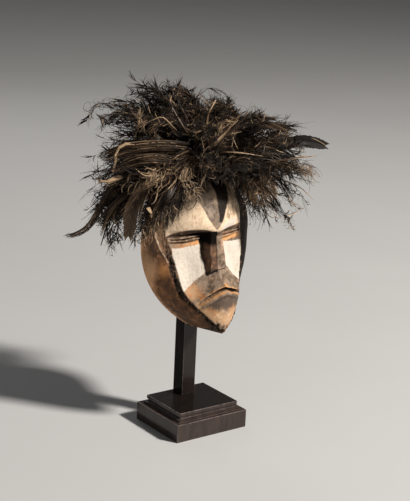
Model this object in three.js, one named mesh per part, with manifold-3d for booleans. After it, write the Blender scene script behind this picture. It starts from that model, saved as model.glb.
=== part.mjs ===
// A carved wooden face mask with a headdress of dark feathers, carried by a stepped display stand.
// Millimetres, +Z up. The mask looks along -Y. The origin is the centre of the stand's underside.
import * as THREE from "three";
import { mergeVertices } from "three/addons/utils/BufferGeometryUtils.js";
import Module from "manifold-3d";

const wasm = await Module();
wasm.setup();

// Driving dimensions of the stand
const baseWidth = 115;
const baseDepth = 99;
const blockHeight = 25.2;
const baseHeight = 36.8;
const ledgeInset = 6.5;
const ledgeTop = 28.2;
const plateInset = 9.5;
const plateUnderside = 32.8;
const edgeBevel = 0.9;
const postSide = 21.5;
const postFront = 14.2;
const hookReach = 13;
const hookThickness = 6;
const hookDrop = 5;
const fitGap = 0.3;

// Driving dimensions of the mask
const maskX = 3.5;
const rimY = 13.8;
const wallThickness = 9;
const rimEgg = { halfWidth: 88, wideZ: 267, topZ: 351, bottomZ: 136.5, power: 2.2, roundness: 0.9 };
const faceEgg = { halfWidth: 62, wideZ: 290, topZ: 345, bottomZ: 146, power: 2.4, roundness: 0.8 };
const mouthHeight = 209.5;
const mouthHalfWidth = 34;
const noseBottom = 230;
const noseRoot = 281;
const eyeHeight = 270;
const browArch = 5.5;

// Driving dimensions of the headdress
const knotRadius = 26;
const knotCentre = new THREE.Vector3(maskX, -2, 368);
const lockSides = 6;
const lockSteps = 8;
const lockFlatness = 0.62;
const longAzimuth = 143;
const foreheadAzimuth = 247;

// One ring of locks for each tier, from the drooping fringe to the tuft on top. Angles are in degrees.
// The share by which a lock grows on the long side of the headdress is called long.
const tiers = [
  { name: "fringe", count: 13, first: 8, elevation: -5, length: 126, long: 0.25, droop: 86, girth: 20 },
  { name: "brim", count: 12, first: 22, elevation: 14, length: 130, long: 0.06, droop: 53, girth: 21 },
  { name: "crest", count: 9, first: 2, elevation: 34, length: 162, long: 0.05, droop: 63, girth: 23 },
  { name: "crown", count: 6, first: 24, elevation: 55, length: 135, long: 0.2, droop: 48, girth: 22 },
  { name: "tuft", count: 3, first: 23, elevation: 72, length: 96, long: 0.21, droop: 8, girth: 15 },
];

// Materials, by the colours that the piece shows
const ebonised = new THREE.MeshStandardMaterial({ color: 0x2a211e, roughness: 0.35, metalness: 0 });
const carvedWood = new THREE.MeshStandardMaterial({ color: 0x8a6a4c, roughness: 0.8, metalness: 0 });
const feather = new THREE.MeshStandardMaterial({ color: 0x241a12, roughness: 0.75, metalness: 0 });
const boundRoots = new THREE.MeshStandardMaterial({ color: 0x1b130d, roughness: 0.85, metalness: 0 });

const radians = THREE.MathUtils.degToRad;
const clamp = THREE.MathUtils.clamp;
const smoothstep = THREE.MathUtils.smoothstep;

// A smooth curve through a few [position, value] keys, level beyond the first and the last.
function curveThrough(keys) {
  return (at) => {
    if (at <= keys[0][0]) return keys[0][1];
    const next = keys.findIndex(([position]) => at < position);
    if (next < 0) return keys[keys.length - 1][1];
    const slope = (i) => {
      const before = keys[Math.max(i - 1, 0)];
      const after = keys[Math.min(i + 1, keys.length - 1)];
      return (after[1] - before[1]) / (after[0] - before[0]);
    };
    const [x0, y0] = keys[next - 1];
    const [x1, y1] = keys[next];
    const span = x1 - x0;
    const t = (at - x0) / span;
    const a = slope(next - 1) * span;
    const b = slope(next) * span;
    return y0 + a * t + (3 * (y1 - y0) - 2 * a - b) * t ** 2 + (2 * (y0 - y1) + a + b) * t ** 3;
  };
}

// A hill of height 1 at centre, which falls to nothing at reach on either side.
function hill(at, centre, reach) {
  const t = Math.abs(at - centre) / reach;
  return t < 1 ? (1 - t * t) ** 2 : 0;
}

// Closed surface over rings of points. End rings that have shrunk to a point or a line need no cap.
function loft(rings, capped = false) {
  const count = rings[0].length;
  const positions = rings.flat().flatMap((p) => [p.x, p.y, p.z]);
  const index = [];
  for (let r = 0; r + 1 < rings.length; r += 1) {
    for (let i = 0; i < count; i += 1) {
      const j = (i + 1) % count;
      const [a, b, c, d] = [r * count + i, r * count + j, (r + 1) * count + j, (r + 1) * count + i];
      index.push(a, b, c, a, c, d);
    }
  }
  if (capped) {
    const last = (rings.length - 1) * count;
    for (let i = 1; i + 1 < count; i += 1) {
      index.push(0, i + 1, i);
      index.push(last, last + i, last + i + 1);
    }
  }
  const geometry = new THREE.BufferGeometry();
  geometry.setAttribute("position", new THREE.Float32BufferAttribute(positions, 3));
  geometry.setIndex(index);
  return geometry;
}

// A closed geometry as a solid for cutting and joining, with its faces turned outwards.
function solidOf(geometry) {
  const bare = geometry.clone();
  bare.deleteAttribute("normal");
  bare.deleteAttribute("uv");
  const merged = mergeVertices(bare, 1e-3);
  const position = merged.attributes.position.array;
  const corner = (i) => new THREE.Vector3().fromArray(position, 3 * i);
  const triangles = [];
  let volume = 0;
  for (let t = 0; t < merged.index.count; t += 3) {
    const [a, b, c] = [0, 1, 2].map((k) => merged.index.getX(t + k));
    if (a === b || b === c || c === a) continue;
    triangles.push([a, b, c]);
    volume += corner(a).dot(corner(b).cross(corner(c)));
  }
  const facing = triangles.map((corners) => (volume < 0 ? corners.toReversed() : corners));
  return new wasm.Manifold(
    new wasm.Mesh({ numProp: 3, vertProperties: position, triVerts: new Uint32Array(facing.flat()) }),
  );
}

function geometryOf(solid) {
  const { vertProperties, triVerts, numProp } = solid.getMesh();
  const geometry = new THREE.BufferGeometry();
  const positions = [];
  for (let i = 0; i < vertProperties.length; i += numProp) {
    positions.push(...vertProperties.slice(i, i + 3));
  }
  geometry.setAttribute("position", new THREE.Float32BufferAttribute(positions, 3));
  geometry.setIndex([...triVerts]);
  return geometry;
}

function piece(name, geometry, material) {
  const mesh = new THREE.Mesh(geometry, material);
  mesh.name = name;
  return mesh;
}

// Stand: a block, a ledge, a hollow moulding and an overhanging plate, all on one rectangle
function standBase() {
  const hollowFoot = ledgeInset + 1.2;
  const hollowDepth = 4;
  const hollowSteps = 6;
  const profile = [
    [edgeBevel, 0],
    [0, edgeBevel],
    [0, blockHeight - edgeBevel],
    [edgeBevel, blockHeight],
    [ledgeInset, blockHeight],
    [ledgeInset, ledgeTop - edgeBevel / 2],
    [ledgeInset + edgeBevel / 2, ledgeTop],
  ];
  for (let i = 0; i <= hollowSteps; i += 1) {
    const turn = (Math.PI / 2) * (i / hollowSteps);
    const inset = hollowFoot + hollowDepth * Math.sin(turn);
    profile.push([inset, plateUnderside - (plateUnderside - ledgeTop) * Math.cos(turn)]);
  }
  profile.push(
    [plateInset, plateUnderside],
    [plateInset, baseHeight - edgeBevel / 2],
    [plateInset + edgeBevel / 2, baseHeight],
  );
  const rings = profile.map(([inset, z]) => {
    const x = baseWidth / 2 - inset;
    const y = baseDepth / 2 - inset;
    return [[x, y], [-x, y], [-x, -y], [x, -y]].map(([px, py]) => new THREE.Vector3(px, py, z));
  });
  return loft(rings, true);
}

// The post and the hook at its top are one bar: the mask hangs on the hook and leans on the post.
function standPost(hookTop) {
  const back = postFront + postSide;
  const outline = new THREE.Shape([
    new THREE.Vector2(postFront, baseHeight + fitGap),
    new THREE.Vector2(back, baseHeight + fitGap),
    new THREE.Vector2(back, hookTop),
    new THREE.Vector2(postFront - hookReach, hookTop),
    new THREE.Vector2(postFront - hookReach, hookTop - hookThickness),
    new THREE.Vector2(postFront, hookTop - hookThickness),
  ]);
  const bar = new THREE.ExtrudeGeometry(outline, { depth: postSide, bevelEnabled: false });
  // The outline is drawn in the YZ plane and extruded along X.
  bar.applyMatrix4(new THREE.Matrix4().makeBasis(
    new THREE.Vector3(0, 1, 0),
    new THREE.Vector3(0, 0, 1),
    new THREE.Vector3(1, 0, 0),
  ));
  return bar.translate(maskX - postSide / 2, 0, 0);
}

// Half width of an egg outline at height z: an ellipse above its widest line, a blunt point below it.
function eggHalfWidth(egg, z) {
  if (z >= egg.wideZ) {
    const t = clamp((z - egg.wideZ) / (egg.topZ - egg.wideZ), 0, 1);
    return egg.halfWidth * Math.sqrt(1 - t * t);
  }
  const t = clamp((egg.wideZ - z) / (egg.wideZ - egg.bottomZ), 0, 1);
  return egg.halfWidth * (1 - t ** egg.power) ** egg.roundness;
}

// How far round the egg outline height z lies: -90 degrees at the bottom, 0 at the widest line, 90 at the top
function eggTurn(egg, z) {
  const reach = z > egg.wideZ ? egg.topZ - egg.wideZ : egg.wideZ - egg.bottomZ;
  return Math.asin(clamp((z - egg.wideZ) / reach, -1, 1));
}

function eggHeight(egg, turn) {
  const reach = turn > 0 ? egg.topZ - egg.wideZ : egg.wideZ - egg.bottomZ;
  return egg.wideZ + Math.sin(turn) * reach;
}

// The face is laid out on a grid: v is the height on the middle line, u runs from -1 to 1 between the edges.
// Depths are how far the wood stands in front of y = 0, at a height.
const rowDroop = curveThrough([
  [146, 0], [172, -10], [209, -23], [230, -24], [247, -8], [262, 0], [281, -4], [320, 0],
]);
const middleDepth = curveThrough([
  [146, 55], [151, 60], [172, 63], [196, 61.5], [209, 59], [228, 34], [237, 25], [258, 21],
  [272, 20], [281, 33.5], [305, 31], [331, 20.5], [345, 2],
]);
const edgeDepth = curveThrough([
  [146, 55], [152, 55], [165, 50], [180, 42.5], [197, 33], [208, 26.5], [232, 19.5], [251, 13],
  [279, 3], [310, -1], [345, -4],
]);
const crossRoundness = curveThrough([
  [146, 2], [196, 2], [225, 1.6], [240, 1.5], [262, 2], [285, 2.2], [345, 2],
]);
const noseHalf = curveThrough([[noseBottom, 15.5], [258, 11], [noseRoot, 8]]);
const noseRidge = curveThrough([[noseBottom, 41], [noseRoot, 34]]);
const noseEdge = curveThrough([[noseBottom, 39], [noseRoot, 32]]);
const noseWall = 1.8;

// How far the carving stands in front of the plain face, by place: eyelids, slits, lips and chin
function carving(x, v, u) {
  const side = Math.abs(x);
  const eyeSpan = Math.sqrt(Math.max(0, 1 - ((side - 35) / 25) ** 2));
  const lids = 4.2 * eyeSpan * hill(v, eyeHeight, 7.5);
  const slit = -2.6 * smoothstep(eyeSpan, 0, 0.5) * hill(v, eyeHeight, 1.8);
  const cheekHollow = -2.5 * hill(side, 36, 24) * hill(v, 238, 20);
  const mouthSpan = smoothstep(mouthHalfWidth - side, 0, 9);
  const mouthSlit = -4.5 * mouthSpan * hill(v, mouthHeight, 2.4);
  const lowerLip = 2.6 * mouthSpan * hill(v, mouthHeight - 5.5, 5.5);
  const upperLip = 1.4 * mouthSpan * hill(v, mouthHeight + 3.6, 2.8);
  return (lids + slit + cheekHollow + mouthSlit + lowerLip + upperLip) * (1 - u ** 8);
}

// Depth of the carved face in front of y = 0, at place x, u on the row of height v.
// The brow ledge rises in an arch over each eye.
function faceDepth(x, v, u) {
  const side = Math.abs(x);
  const z = v + rowDroop(v) * Math.abs(u) ** 1.3;
  const edge = edgeDepth(z);
  const arch = browArch * smoothstep(side, 3, 24) * hill(v, noseRoot, 34);
  const plain = edge + (middleDepth(v - arch) - edge) * (1 - Math.abs(u) ** crossRoundness(v));
  const depth = plain + carving(x, v, u);
  const onNose = v > noseBottom - 0.01 && v < noseRoot + 4;
  if (!onNose || side > noseHalf(v) + noseWall) return depth;
  const crest = noseRidge(v) + (noseEdge(v) - noseRidge(v)) * Math.min(side / noseHalf(v), 1);
  const wall = clamp((side - noseHalf(v)) / noseWall, 0, 1);
  return Math.max(depth, crest + (depth - crest) * wall);
}

// Row heights are close together where the carving is fine.
function rowHeights() {
  const noseUnderside = 0.8;
  const bands = [
    [faceEgg.bottomZ, 198, 11],
    [198, 216, 10],
    [216, noseBottom - noseUnderside, 4],
    [noseBottom, 258, 7],
    [258, 290, 18],
    [290, faceEgg.topZ, 9],
  ];
  const heights = bands.flatMap(([from, to, count]) =>
    Array.from({ length: count }, (_, i) => from + ((to - from) * i) / count));
  return [...heights, faceEgg.topZ];
}

const noseColumns = [0, 0.5, 1];
const cheekColumns = [0.12, 0.24, 0.36, 0.48, 0.6, 0.72, 0.84, 0.94];
const sideColumns = [0.12, 0.35, 0.6, 0.82, 1];
const sideBulge = new THREE.Vector3(3.5, -2.5, 0);

// Half of one row, from the middle line to the rim, at the side where x is positive
function halfRow(v) {
  const edgeZ = v + rowDroop(v);
  const atEnd = v <= faceEgg.bottomZ || v >= faceEgg.topZ;
  const edgeX = atEnd ? 0 : eggHalfWidth(faceEgg, edgeZ);
  const noseX = Math.min(noseHalf(v), edgeX * 0.4);
  const columns = noseColumns.map((c) => c * noseX);
  const foot = Math.min(noseWall, edgeX * 0.05);
  columns.push(noseX + foot, ...cheekColumns.map((c) => noseX + foot + (edgeX - noseX - foot) * c), edgeX);
  const row = columns.map((x) => {
    const u = edgeX > 0 ? x / edgeX : 0;
    return new THREE.Vector3(x, -faceDepth(x, v, u), v + rowDroop(v) * Math.abs(u) ** 1.3);
  });
  const edge = row[row.length - 1].clone();
  // The rim is shared out by turning angle, so that each row ends square to the rim.
  const turn = eggTurn(faceEgg, edgeZ);
  const rimZ = eggHeight(rimEgg, turn);
  const rim = new THREE.Vector3(eggHalfWidth(rimEgg, rimZ), rimY, rimZ);
  for (const along of sideColumns) {
    const swell = Math.sin(Math.PI * along) * Math.cos(turn) ** 0.5;
    row.push(edge.clone().lerp(rim, along).addScaledVector(sideBulge, swell));
  }
  return row;
}

const mirrored = (p) => new THREE.Vector3(-p.x, p.y, p.z);

function maskOutside() {
  const rings = rowHeights().map((v) => {
    const half = halfRow(v);
    return [...half.toReversed().map(mirrored), ...half.slice(1)];
  });
  return solidOf(loft(rings).translate(maskX, 0, 0));
}

// The hollow that a face goes into: a smooth bowl, open at the rim
function maskHollow() {
  const rows = 20;
  const columns = 14;
  const behind = 6;
  const egg = {
    ...rimEgg,
    halfWidth: rimEgg.halfWidth - wallThickness,
    topZ: rimEgg.topZ - wallThickness,
    bottomZ: rimEgg.bottomZ + wallThickness,
  };
  const bowl = curveThrough([
    [145, 30], [165, 42], [200, 38], [225, 22], [250, 11], [268, 10], [300, 17], [330, 8], [342, 0],
  ]);
  const rings = [];
  for (let r = 0; r <= rows; r += 1) {
    const z = egg.bottomZ + (egg.topZ - egg.bottomZ) * (0.5 - 0.5 * Math.cos((Math.PI * r) / rows));
    const halfWidth = r === 0 || r === rows ? 0 : eggHalfWidth(egg, z);
    const ring = [];
    for (let c = 0; c <= columns; c += 1) {
      const turn = Math.PI * (c / columns);
      const reach = Math.sin(turn) ** 1.5 * Math.sin((Math.PI * r) / rows) ** 0.45;
      ring.push(new THREE.Vector3(-halfWidth * Math.cos(turn), rimY - (rimY + bowl(z)) * reach, z));
    }
    ring.push(new THREE.Vector3(halfWidth, rimY + behind, z));
    ring.push(new THREE.Vector3(-halfWidth, rimY + behind, z));
    rings.push(ring);
  }
  return solidOf(loft(rings).translate(maskX, 0, 0));
}

// A steady spread of values from -1 to 1, for lengths and girths that differ from lock to lock
const spread = (n) => Math.sin(n * 2.399) * Math.cos(n * 0.7);

function azimuthGap(a, b) {
  const gap = Math.abs(a - b) % 360;
  return Math.min(gap, 360 - gap);
}

// Over the forehead the locks are short and stand up, so that the face shows.
function lockLayout() {
  const locks = [];
  for (const tier of tiers) {
    for (let i = 0; i < tier.count; i += 1) {
      const seed = locks.length + 1;
      const azimuth = tier.first + (360 * i) / tier.count;
      const low = clamp(1 - tier.elevation / 45, 0, 1);
      const overForehead = hill(azimuthGap(azimuth, foreheadAzimuth), 0, 72);
      const longer = Math.cos(radians(azimuth - longAzimuth));
      const short = low * overForehead;
      locks.push({
        name: `feather_lock_${tier.name}_${String(i + 1).padStart(2, "0")}`,
        azimuth: radians(azimuth),
        elevation: radians(tier.elevation + 9 * short),
        length: tier.length * (1 + tier.long * longer + 0.08 * spread(seed)) * (1 - 0.64 * short),
        droop: tier.droop * (1 + 0.06 * longer + 0.08 * spread(seed + 3)) * (1 - 0.5 * overForehead),
        girth: tier.girth * (1 + 0.1 * spread(seed + 5)) * (1 - 0.42 * short),
      });
    }
  }
  return locks;
}

// Middle line of a lock: straight out of the knot, then bending down under its own weight
function lockPath(lock, t) {
  const out = new THREE.Vector3(
    Math.cos(lock.azimuth) * Math.cos(lock.elevation),
    Math.sin(lock.azimuth) * Math.cos(lock.elevation),
    Math.sin(lock.elevation),
  );
  const point = knotCentre.clone().addScaledVector(out, knotRadius + fitGap + lock.length * t);
  point.z -= lock.droop * t ** 1.9;
  return point;
}

function lockSolid(lock) {
  const rings = [];
  for (let step = 0; step <= lockSteps; step += 1) {
    const t = step / lockSteps;
    const centre = lockPath(lock, t);
    const ahead = lockPath(lock, t + 0.01).sub(lockPath(lock, Math.max(t - 0.01, 0))).normalize();
    const across = new THREE.Vector3(-Math.sin(lock.azimuth), Math.cos(lock.azimuth), 0);
    const above = new THREE.Vector3().crossVectors(across, ahead);
    const swell = 0.22 + 0.78 * smoothstep(t, 0, 0.66);
    const taper = 1 - 0.62 * clamp((t - 0.7) / 0.3, 0, 1) ** 2;
    const half = lock.girth * swell * taper;
    const ring = [];
    for (let side = 0; side < lockSides; side += 1) {
      const turn = (2 * Math.PI * side) / lockSides;
      ring.push(centre.clone()
        .addScaledVector(across, half * Math.cos(turn))
        .addScaledVector(above, lockFlatness * half * Math.sin(turn)));
    }
    rings.push(ring);
  }
  return solidOf(loft(rings, true));
}

// What lies on the mask and the post is cut to them with a small gap.
function clearOf(solid, support) {
  const shifts = [[0, 0, 0.4], [0, -0.4, 0], [0, 0.3, 0.2], [0.3, 0, 0.2], [-0.3, 0, 0.2]];
  return shifts.reduce((rest, shift) => rest.subtract(support.translate(shift)), solid);
}

const outside = maskOutside();
const mask = outside.subtract(maskHollow());
const hookTop = rimEgg.topZ - wallThickness - hookDrop;
const belowMask = [[0, 0, -fitGap], [0, fitGap, 0], [fitGap, 0, -fitGap], [-fitGap, 0, -fitGap]];
const bar = solidOf(standPost(hookTop));
const post = belowMask.reduce((rest, shift) => rest.subtract(mask.translate(shift)), bar);
const support = outside.add(post);
const ball = new THREE.SphereGeometry(knotRadius, 20, 12).rotateX(Math.PI / 2).translate(...knotCentre);
const knot = clearOf(solidOf(ball), support).trimByPlane([0, 0, 1], hookTop + fitGap);

const assembly = new THREE.Group();
assembly.add(
  piece("stand_base", standBase(), ebonised),
  piece("stand_post", geometryOf(post), ebonised),
  piece("mask", geometryOf(mask), carvedWood),
  piece("feather_knot", geometryOf(knot), boundRoots),
);
for (const lock of lockLayout()) {
  assembly.add(piece(lock.name, geometryOf(clearOf(lockSolid(lock), support)), feather));
}

export default assembly;
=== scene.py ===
"""A carved wooden face mask with a headdress of dark feathers, on a stepped display stand.

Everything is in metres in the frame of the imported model: the mask looks along -Y and Z is up.
Sizes inside the shaping functions are in millimetres and are turned into metres when a piece is made.
"""
import math

import bmesh
import bpy
import numpy as np
from mathutils import Matrix, Vector, noise
from mathutils.bvhtree import BVHTree


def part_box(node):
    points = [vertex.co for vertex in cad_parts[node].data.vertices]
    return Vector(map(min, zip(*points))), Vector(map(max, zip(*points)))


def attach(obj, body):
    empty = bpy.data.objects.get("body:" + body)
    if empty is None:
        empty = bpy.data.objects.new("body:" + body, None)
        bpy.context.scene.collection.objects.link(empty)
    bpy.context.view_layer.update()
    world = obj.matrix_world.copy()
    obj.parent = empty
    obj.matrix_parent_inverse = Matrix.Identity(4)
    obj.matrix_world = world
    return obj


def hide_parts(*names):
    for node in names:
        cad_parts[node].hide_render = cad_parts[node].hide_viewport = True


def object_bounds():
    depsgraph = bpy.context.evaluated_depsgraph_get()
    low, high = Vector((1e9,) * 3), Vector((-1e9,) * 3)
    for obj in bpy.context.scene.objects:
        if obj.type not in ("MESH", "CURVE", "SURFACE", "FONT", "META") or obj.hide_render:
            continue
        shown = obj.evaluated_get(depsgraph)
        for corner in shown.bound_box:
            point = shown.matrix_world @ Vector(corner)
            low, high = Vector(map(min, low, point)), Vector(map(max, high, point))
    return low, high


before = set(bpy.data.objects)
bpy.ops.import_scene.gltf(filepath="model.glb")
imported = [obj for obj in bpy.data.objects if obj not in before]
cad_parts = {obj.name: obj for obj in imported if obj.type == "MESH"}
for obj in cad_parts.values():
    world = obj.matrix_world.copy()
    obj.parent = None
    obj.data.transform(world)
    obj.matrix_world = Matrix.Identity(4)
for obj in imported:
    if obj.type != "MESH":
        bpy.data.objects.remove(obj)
cad_low, cad_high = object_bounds()

MM = 0.001

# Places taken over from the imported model, in millimetres
POST_LOW, POST_HIGH = (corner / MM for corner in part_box("stand_post"))
BASE_LOW, BASE_HIGH = (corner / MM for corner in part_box("stand_base"))
MASK_X = 3.5
RIM_Y = 13.8
WALL = 9
KNOT_RADIUS = 26
KNOT_CENTRE = np.array([MASK_X, -2.0, 368.0])


# Camera, floor and light

CAMERA_PLACE = (-0.99795, -1.34573, 0.70340)
CAMERA_AZIMUTH, CAMERA_ELEVATION, CAMERA_ROLL = -36.84, 15.22, 2.75
# From the middle of the mask toward the key light
KEY_DIRECTION = (0.383, -0.6634, 0.6428)


def camera_axes():
    azimuth, elevation, roll = map(math.radians, (CAMERA_AZIMUTH, CAMERA_ELEVATION, CAMERA_ROLL))
    back = Vector((
        math.sin(azimuth) * math.cos(elevation),
        -math.cos(azimuth) * math.cos(elevation),
        math.sin(elevation),
    ))
    level_right = Vector((math.cos(azimuth), math.sin(azimuth), 0))
    level_up = back.cross(level_right)
    right = level_right * math.cos(roll) + level_up * math.sin(roll)
    up = level_up * math.cos(roll) - level_right * math.sin(roll)
    return right, up, back


def make_camera():
    lens = bpy.data.cameras.new("camera")
    lens.lens = 93.4
    lens.sensor_width = 36
    camera = bpy.data.objects.new("camera", lens)
    camera.matrix_world = Matrix(camera_axes()).transposed().to_4x4()
    camera.location = CAMERA_PLACE
    bpy.context.collection.objects.link(camera)
    bpy.context.scene.camera = camera


def make_area_light(name, place, target, size, power, colour):
    lamp = bpy.data.lights.new(name, "AREA")
    lamp.shape = "DISK"
    lamp.size = size
    lamp.energy = power
    lamp.color = colour
    light = bpy.data.objects.new(name, lamp)
    light.location = place
    light.rotation_euler = (Vector(target) - Vector(place)).to_track_quat("-Z", "Y").to_euler()
    bpy.context.collection.objects.link(light)


def make_lights():
    middle = Vector((0, 0, 0.3))
    key_distance = 5
    key_place = middle + key_distance * Vector(KEY_DIRECTION)
    make_area_light("key_light", key_place, middle, 0.62, 431, (1.0, 0.95, 0.88))
    make_area_light("fill_light", (-2.4, -1.4, 1.2), middle, 2.4, 2.4, (1.0, 0.97, 0.93))
    make_area_light("back_light", (0.6, 2.4, 1.8), middle, 1.8, 7, (1.0, 1.0, 1.0))
    world = bpy.data.worlds.new("studio")
    world.use_nodes = True
    background = world.node_tree.nodes["Background"]
    background.inputs["Color"].default_value = (0.88, 0.87, 0.86, 1)
    background.inputs["Strength"].default_value = 0.1
    bpy.context.scene.world = world
    bpy.context.scene.view_settings.view_transform = "Standard"


# Node helpers

class Tree:
    """Adds and links the nodes of one material or node group."""

    def __init__(self, tree):
        self.tree = tree

    def add(self, kind, settings=None, **inputs):
        node = self.tree.nodes.new(kind)
        for name, value in (settings or {}).items():
            setattr(node, name, value)
        for name, value in inputs.items():
            self.feed(node.inputs[name.replace("_", " ")], value)
        return node

    def feed(self, socket, value):
        """Links a socket into this one, or gives it a value. A colour is given as red, green and blue."""
        if isinstance(value, bpy.types.NodeSocket):
            self.tree.links.new(value, socket)
        elif socket.type == "RGBA":
            socket.default_value = (*value, 1)
        else:
            socket.default_value = value

    def math(self, operation, first, second, clamp=False):
        node = self.add("ShaderNodeMath", {"operation": operation, "use_clamp": clamp})
        self.feed(node.inputs[0], first)
        self.feed(node.inputs[1], second)
        return node.outputs[0]

    def plus(self, first, second, clamp=False):
        return self.math("ADD", first, second, clamp)

    def minus(self, first, second):
        return self.math("SUBTRACT", first, second)

    def times(self, first, second, clamp=False):
        return self.math("MULTIPLY", first, second, clamp)

    def blend(self, first, second, factor):
        """From the first colour at factor 0 to the second at 1."""
        node = self.add("ShaderNodeMix", {"data_type": "RGBA"})
        self.feed(node.inputs[0], factor)
        self.feed(node.inputs[6], first)
        self.feed(node.inputs[7], second)
        return node.outputs[2]

    def steps(self, value, low, high, bottom=0.0, top=1.0):
        """A smooth rise from bottom to top while the value goes from low to high."""
        node = self.add("ShaderNodeMapRange", {"interpolation_type": "SMOOTHSTEP"},
                        Value=value, From_Min=low, From_Max=high, To_Min=bottom, To_Max=top)
        return node.outputs[0]

    def place(self, stretch=(1, 1, 1)):
        """Object coordinates in metres, squeezed along each axis by stretch."""
        where = self.add("ShaderNodeTexCoord").outputs["Object"]
        return self.add("ShaderNodeMapping", Vector=where, Scale=stretch).outputs[0]

    def noise(self, where, scale, detail, roughness, distortion=0.0):
        node = self.add("ShaderNodeTexNoise", Vector=where, Scale=scale, Detail=detail,
                        Roughness=roughness, Distortion=distortion)
        return node.outputs["Fac"]

    def attribute(self, name):
        return self.add("ShaderNodeAttribute", {"attribute_name": name}).outputs["Fac"]

    def group(self, group, output, **inputs):
        return self.add("ShaderNodeGroup", {"node_tree": group}, **inputs).outputs[output]

    def grain(self, scale, streaks, output="Mask"):
        return self.group(GRAIN, output, Scale=scale, Streaks=streaks)

    def stained(self, scale, amount):
        return self.group(BLOTCHES, "Mask", Scale=scale, Amount=amount)

    def bump(self, height, strength, distance):
        return self.add("ShaderNodeBump", Height=height, Strength=strength, Distance=distance).outputs[0]


def make_group(name, inputs, outputs):
    group = bpy.data.node_groups.new(name, "ShaderNodeTree")
    for socket, (kind, value) in inputs.items():
        made = group.interface.new_socket(socket, in_out="INPUT", socket_type=kind)
        made.default_value = value
    for socket, kind in outputs.items():
        group.interface.new_socket(socket, in_out="OUTPUT", socket_type=kind)
    tree = Tree(group)
    return group, tree, tree.add("NodeGroupInput").outputs, tree.add("NodeGroupOutput").inputs


NUMBER = "NodeSocketFloat"


def ragged_edge_group():
    """A mask from a distance in millimetres, with a border frayed by noise."""
    inputs = {"Distance": (NUMBER, 0.0), "Ragged": (NUMBER, 2.0), "Scale": (NUMBER, 300.0),
              "Softness": (NUMBER, 0.6)}
    group, tree, given, out = make_group("ragged_edge", inputs, {"Mask": NUMBER})
    fray = tree.minus(tree.noise(tree.place(), given["Scale"], 5, 0.65), 0.5)
    moved = tree.plus(given["Distance"], tree.times(fray, given["Ragged"]))
    scaled = tree.math("DIVIDE", moved, given["Softness"])
    tree.feed(out["Mask"], tree.steps(scaled, -1, 1))
    return group


def wood_grain_group():
    """Long fibres along Z: dark and light streaks as a mask, and a height for bump."""
    inputs = {"Scale": (NUMBER, 90.0), "Streaks": (NUMBER, 0.5)}
    group, tree, given, out = make_group("wood_grain", inputs, {"Mask": NUMBER, "Height": NUMBER})
    along = tree.place((1, 1, 0.12))
    broad = tree.noise(along, given["Scale"], 3, 0.5, 0.8)
    fine = tree.noise(along, tree.times(given["Scale"], 7.0), 4, 0.6)
    streaks = tree.times(tree.minus(fine, 0.5), given["Streaks"])
    tree.feed(out["Mask"], tree.plus(broad, streaks, clamp=True))
    tree.feed(out["Height"], fine)
    return group


def blotches_group():
    """Irregular stains and rubbed places, from broad to fine."""
    inputs = {"Scale": (NUMBER, 40.0), "Amount": (NUMBER, 0.5)}
    group, tree, given, out = make_group("blotches", inputs, {"Mask": NUMBER})
    broad = tree.noise(tree.place(), given["Scale"], 6, 0.62, 0.3)
    level = tree.minus(1.0, given["Amount"])
    spread = tree.times(tree.minus(broad, level), 6.0)
    tree.feed(out["Mask"], tree.plus(spread, 0.5, clamp=True))
    return group


def dust_group():
    """Dust that has settled on what faces up, broken by noise."""
    inputs = {"Amount": (NUMBER, 0.5), "Scale": (NUMBER, 120.0)}
    group, tree, given, out = make_group("settled_dust", inputs, {"Mask": NUMBER})
    normal = tree.add("ShaderNodeNewGeometry").outputs["Normal"]
    up = tree.add("ShaderNodeSeparateXYZ", Vector=normal).outputs["Z"]
    facing = tree.steps(up, 0.1, 0.95)
    patches = tree.steps(tree.noise(tree.place(), given["Scale"], 5, 0.6), 0.35, 0.7)
    lying = tree.times(facing, patches)
    tree.feed(out["Mask"], tree.times(lying, given["Amount"], clamp=True))
    return group


RAGGED = ragged_edge_group()
GRAIN = wood_grain_group()
BLOTCHES = blotches_group()
DUST = dust_group()


def new_material(name):
    material = bpy.data.materials.new(name)
    material.use_nodes = True
    shader = material.node_tree.nodes["Principled BSDF"]
    return material, Tree(material.node_tree), shader


# Materials

def floor_material():
    material, tree, shader = new_material("pale_floor")
    mottling = tree.noise(tree.place(), 3.0, 3, 0.5)
    tree.feed(shader.inputs["Base Color"], tree.blend((0.49, 0.493, 0.497), (0.53, 0.533, 0.537), mottling))
    shader.inputs["Roughness"].default_value = 0.7
    shader.inputs["Specular IOR Level"].default_value = 0.25
    return material


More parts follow.
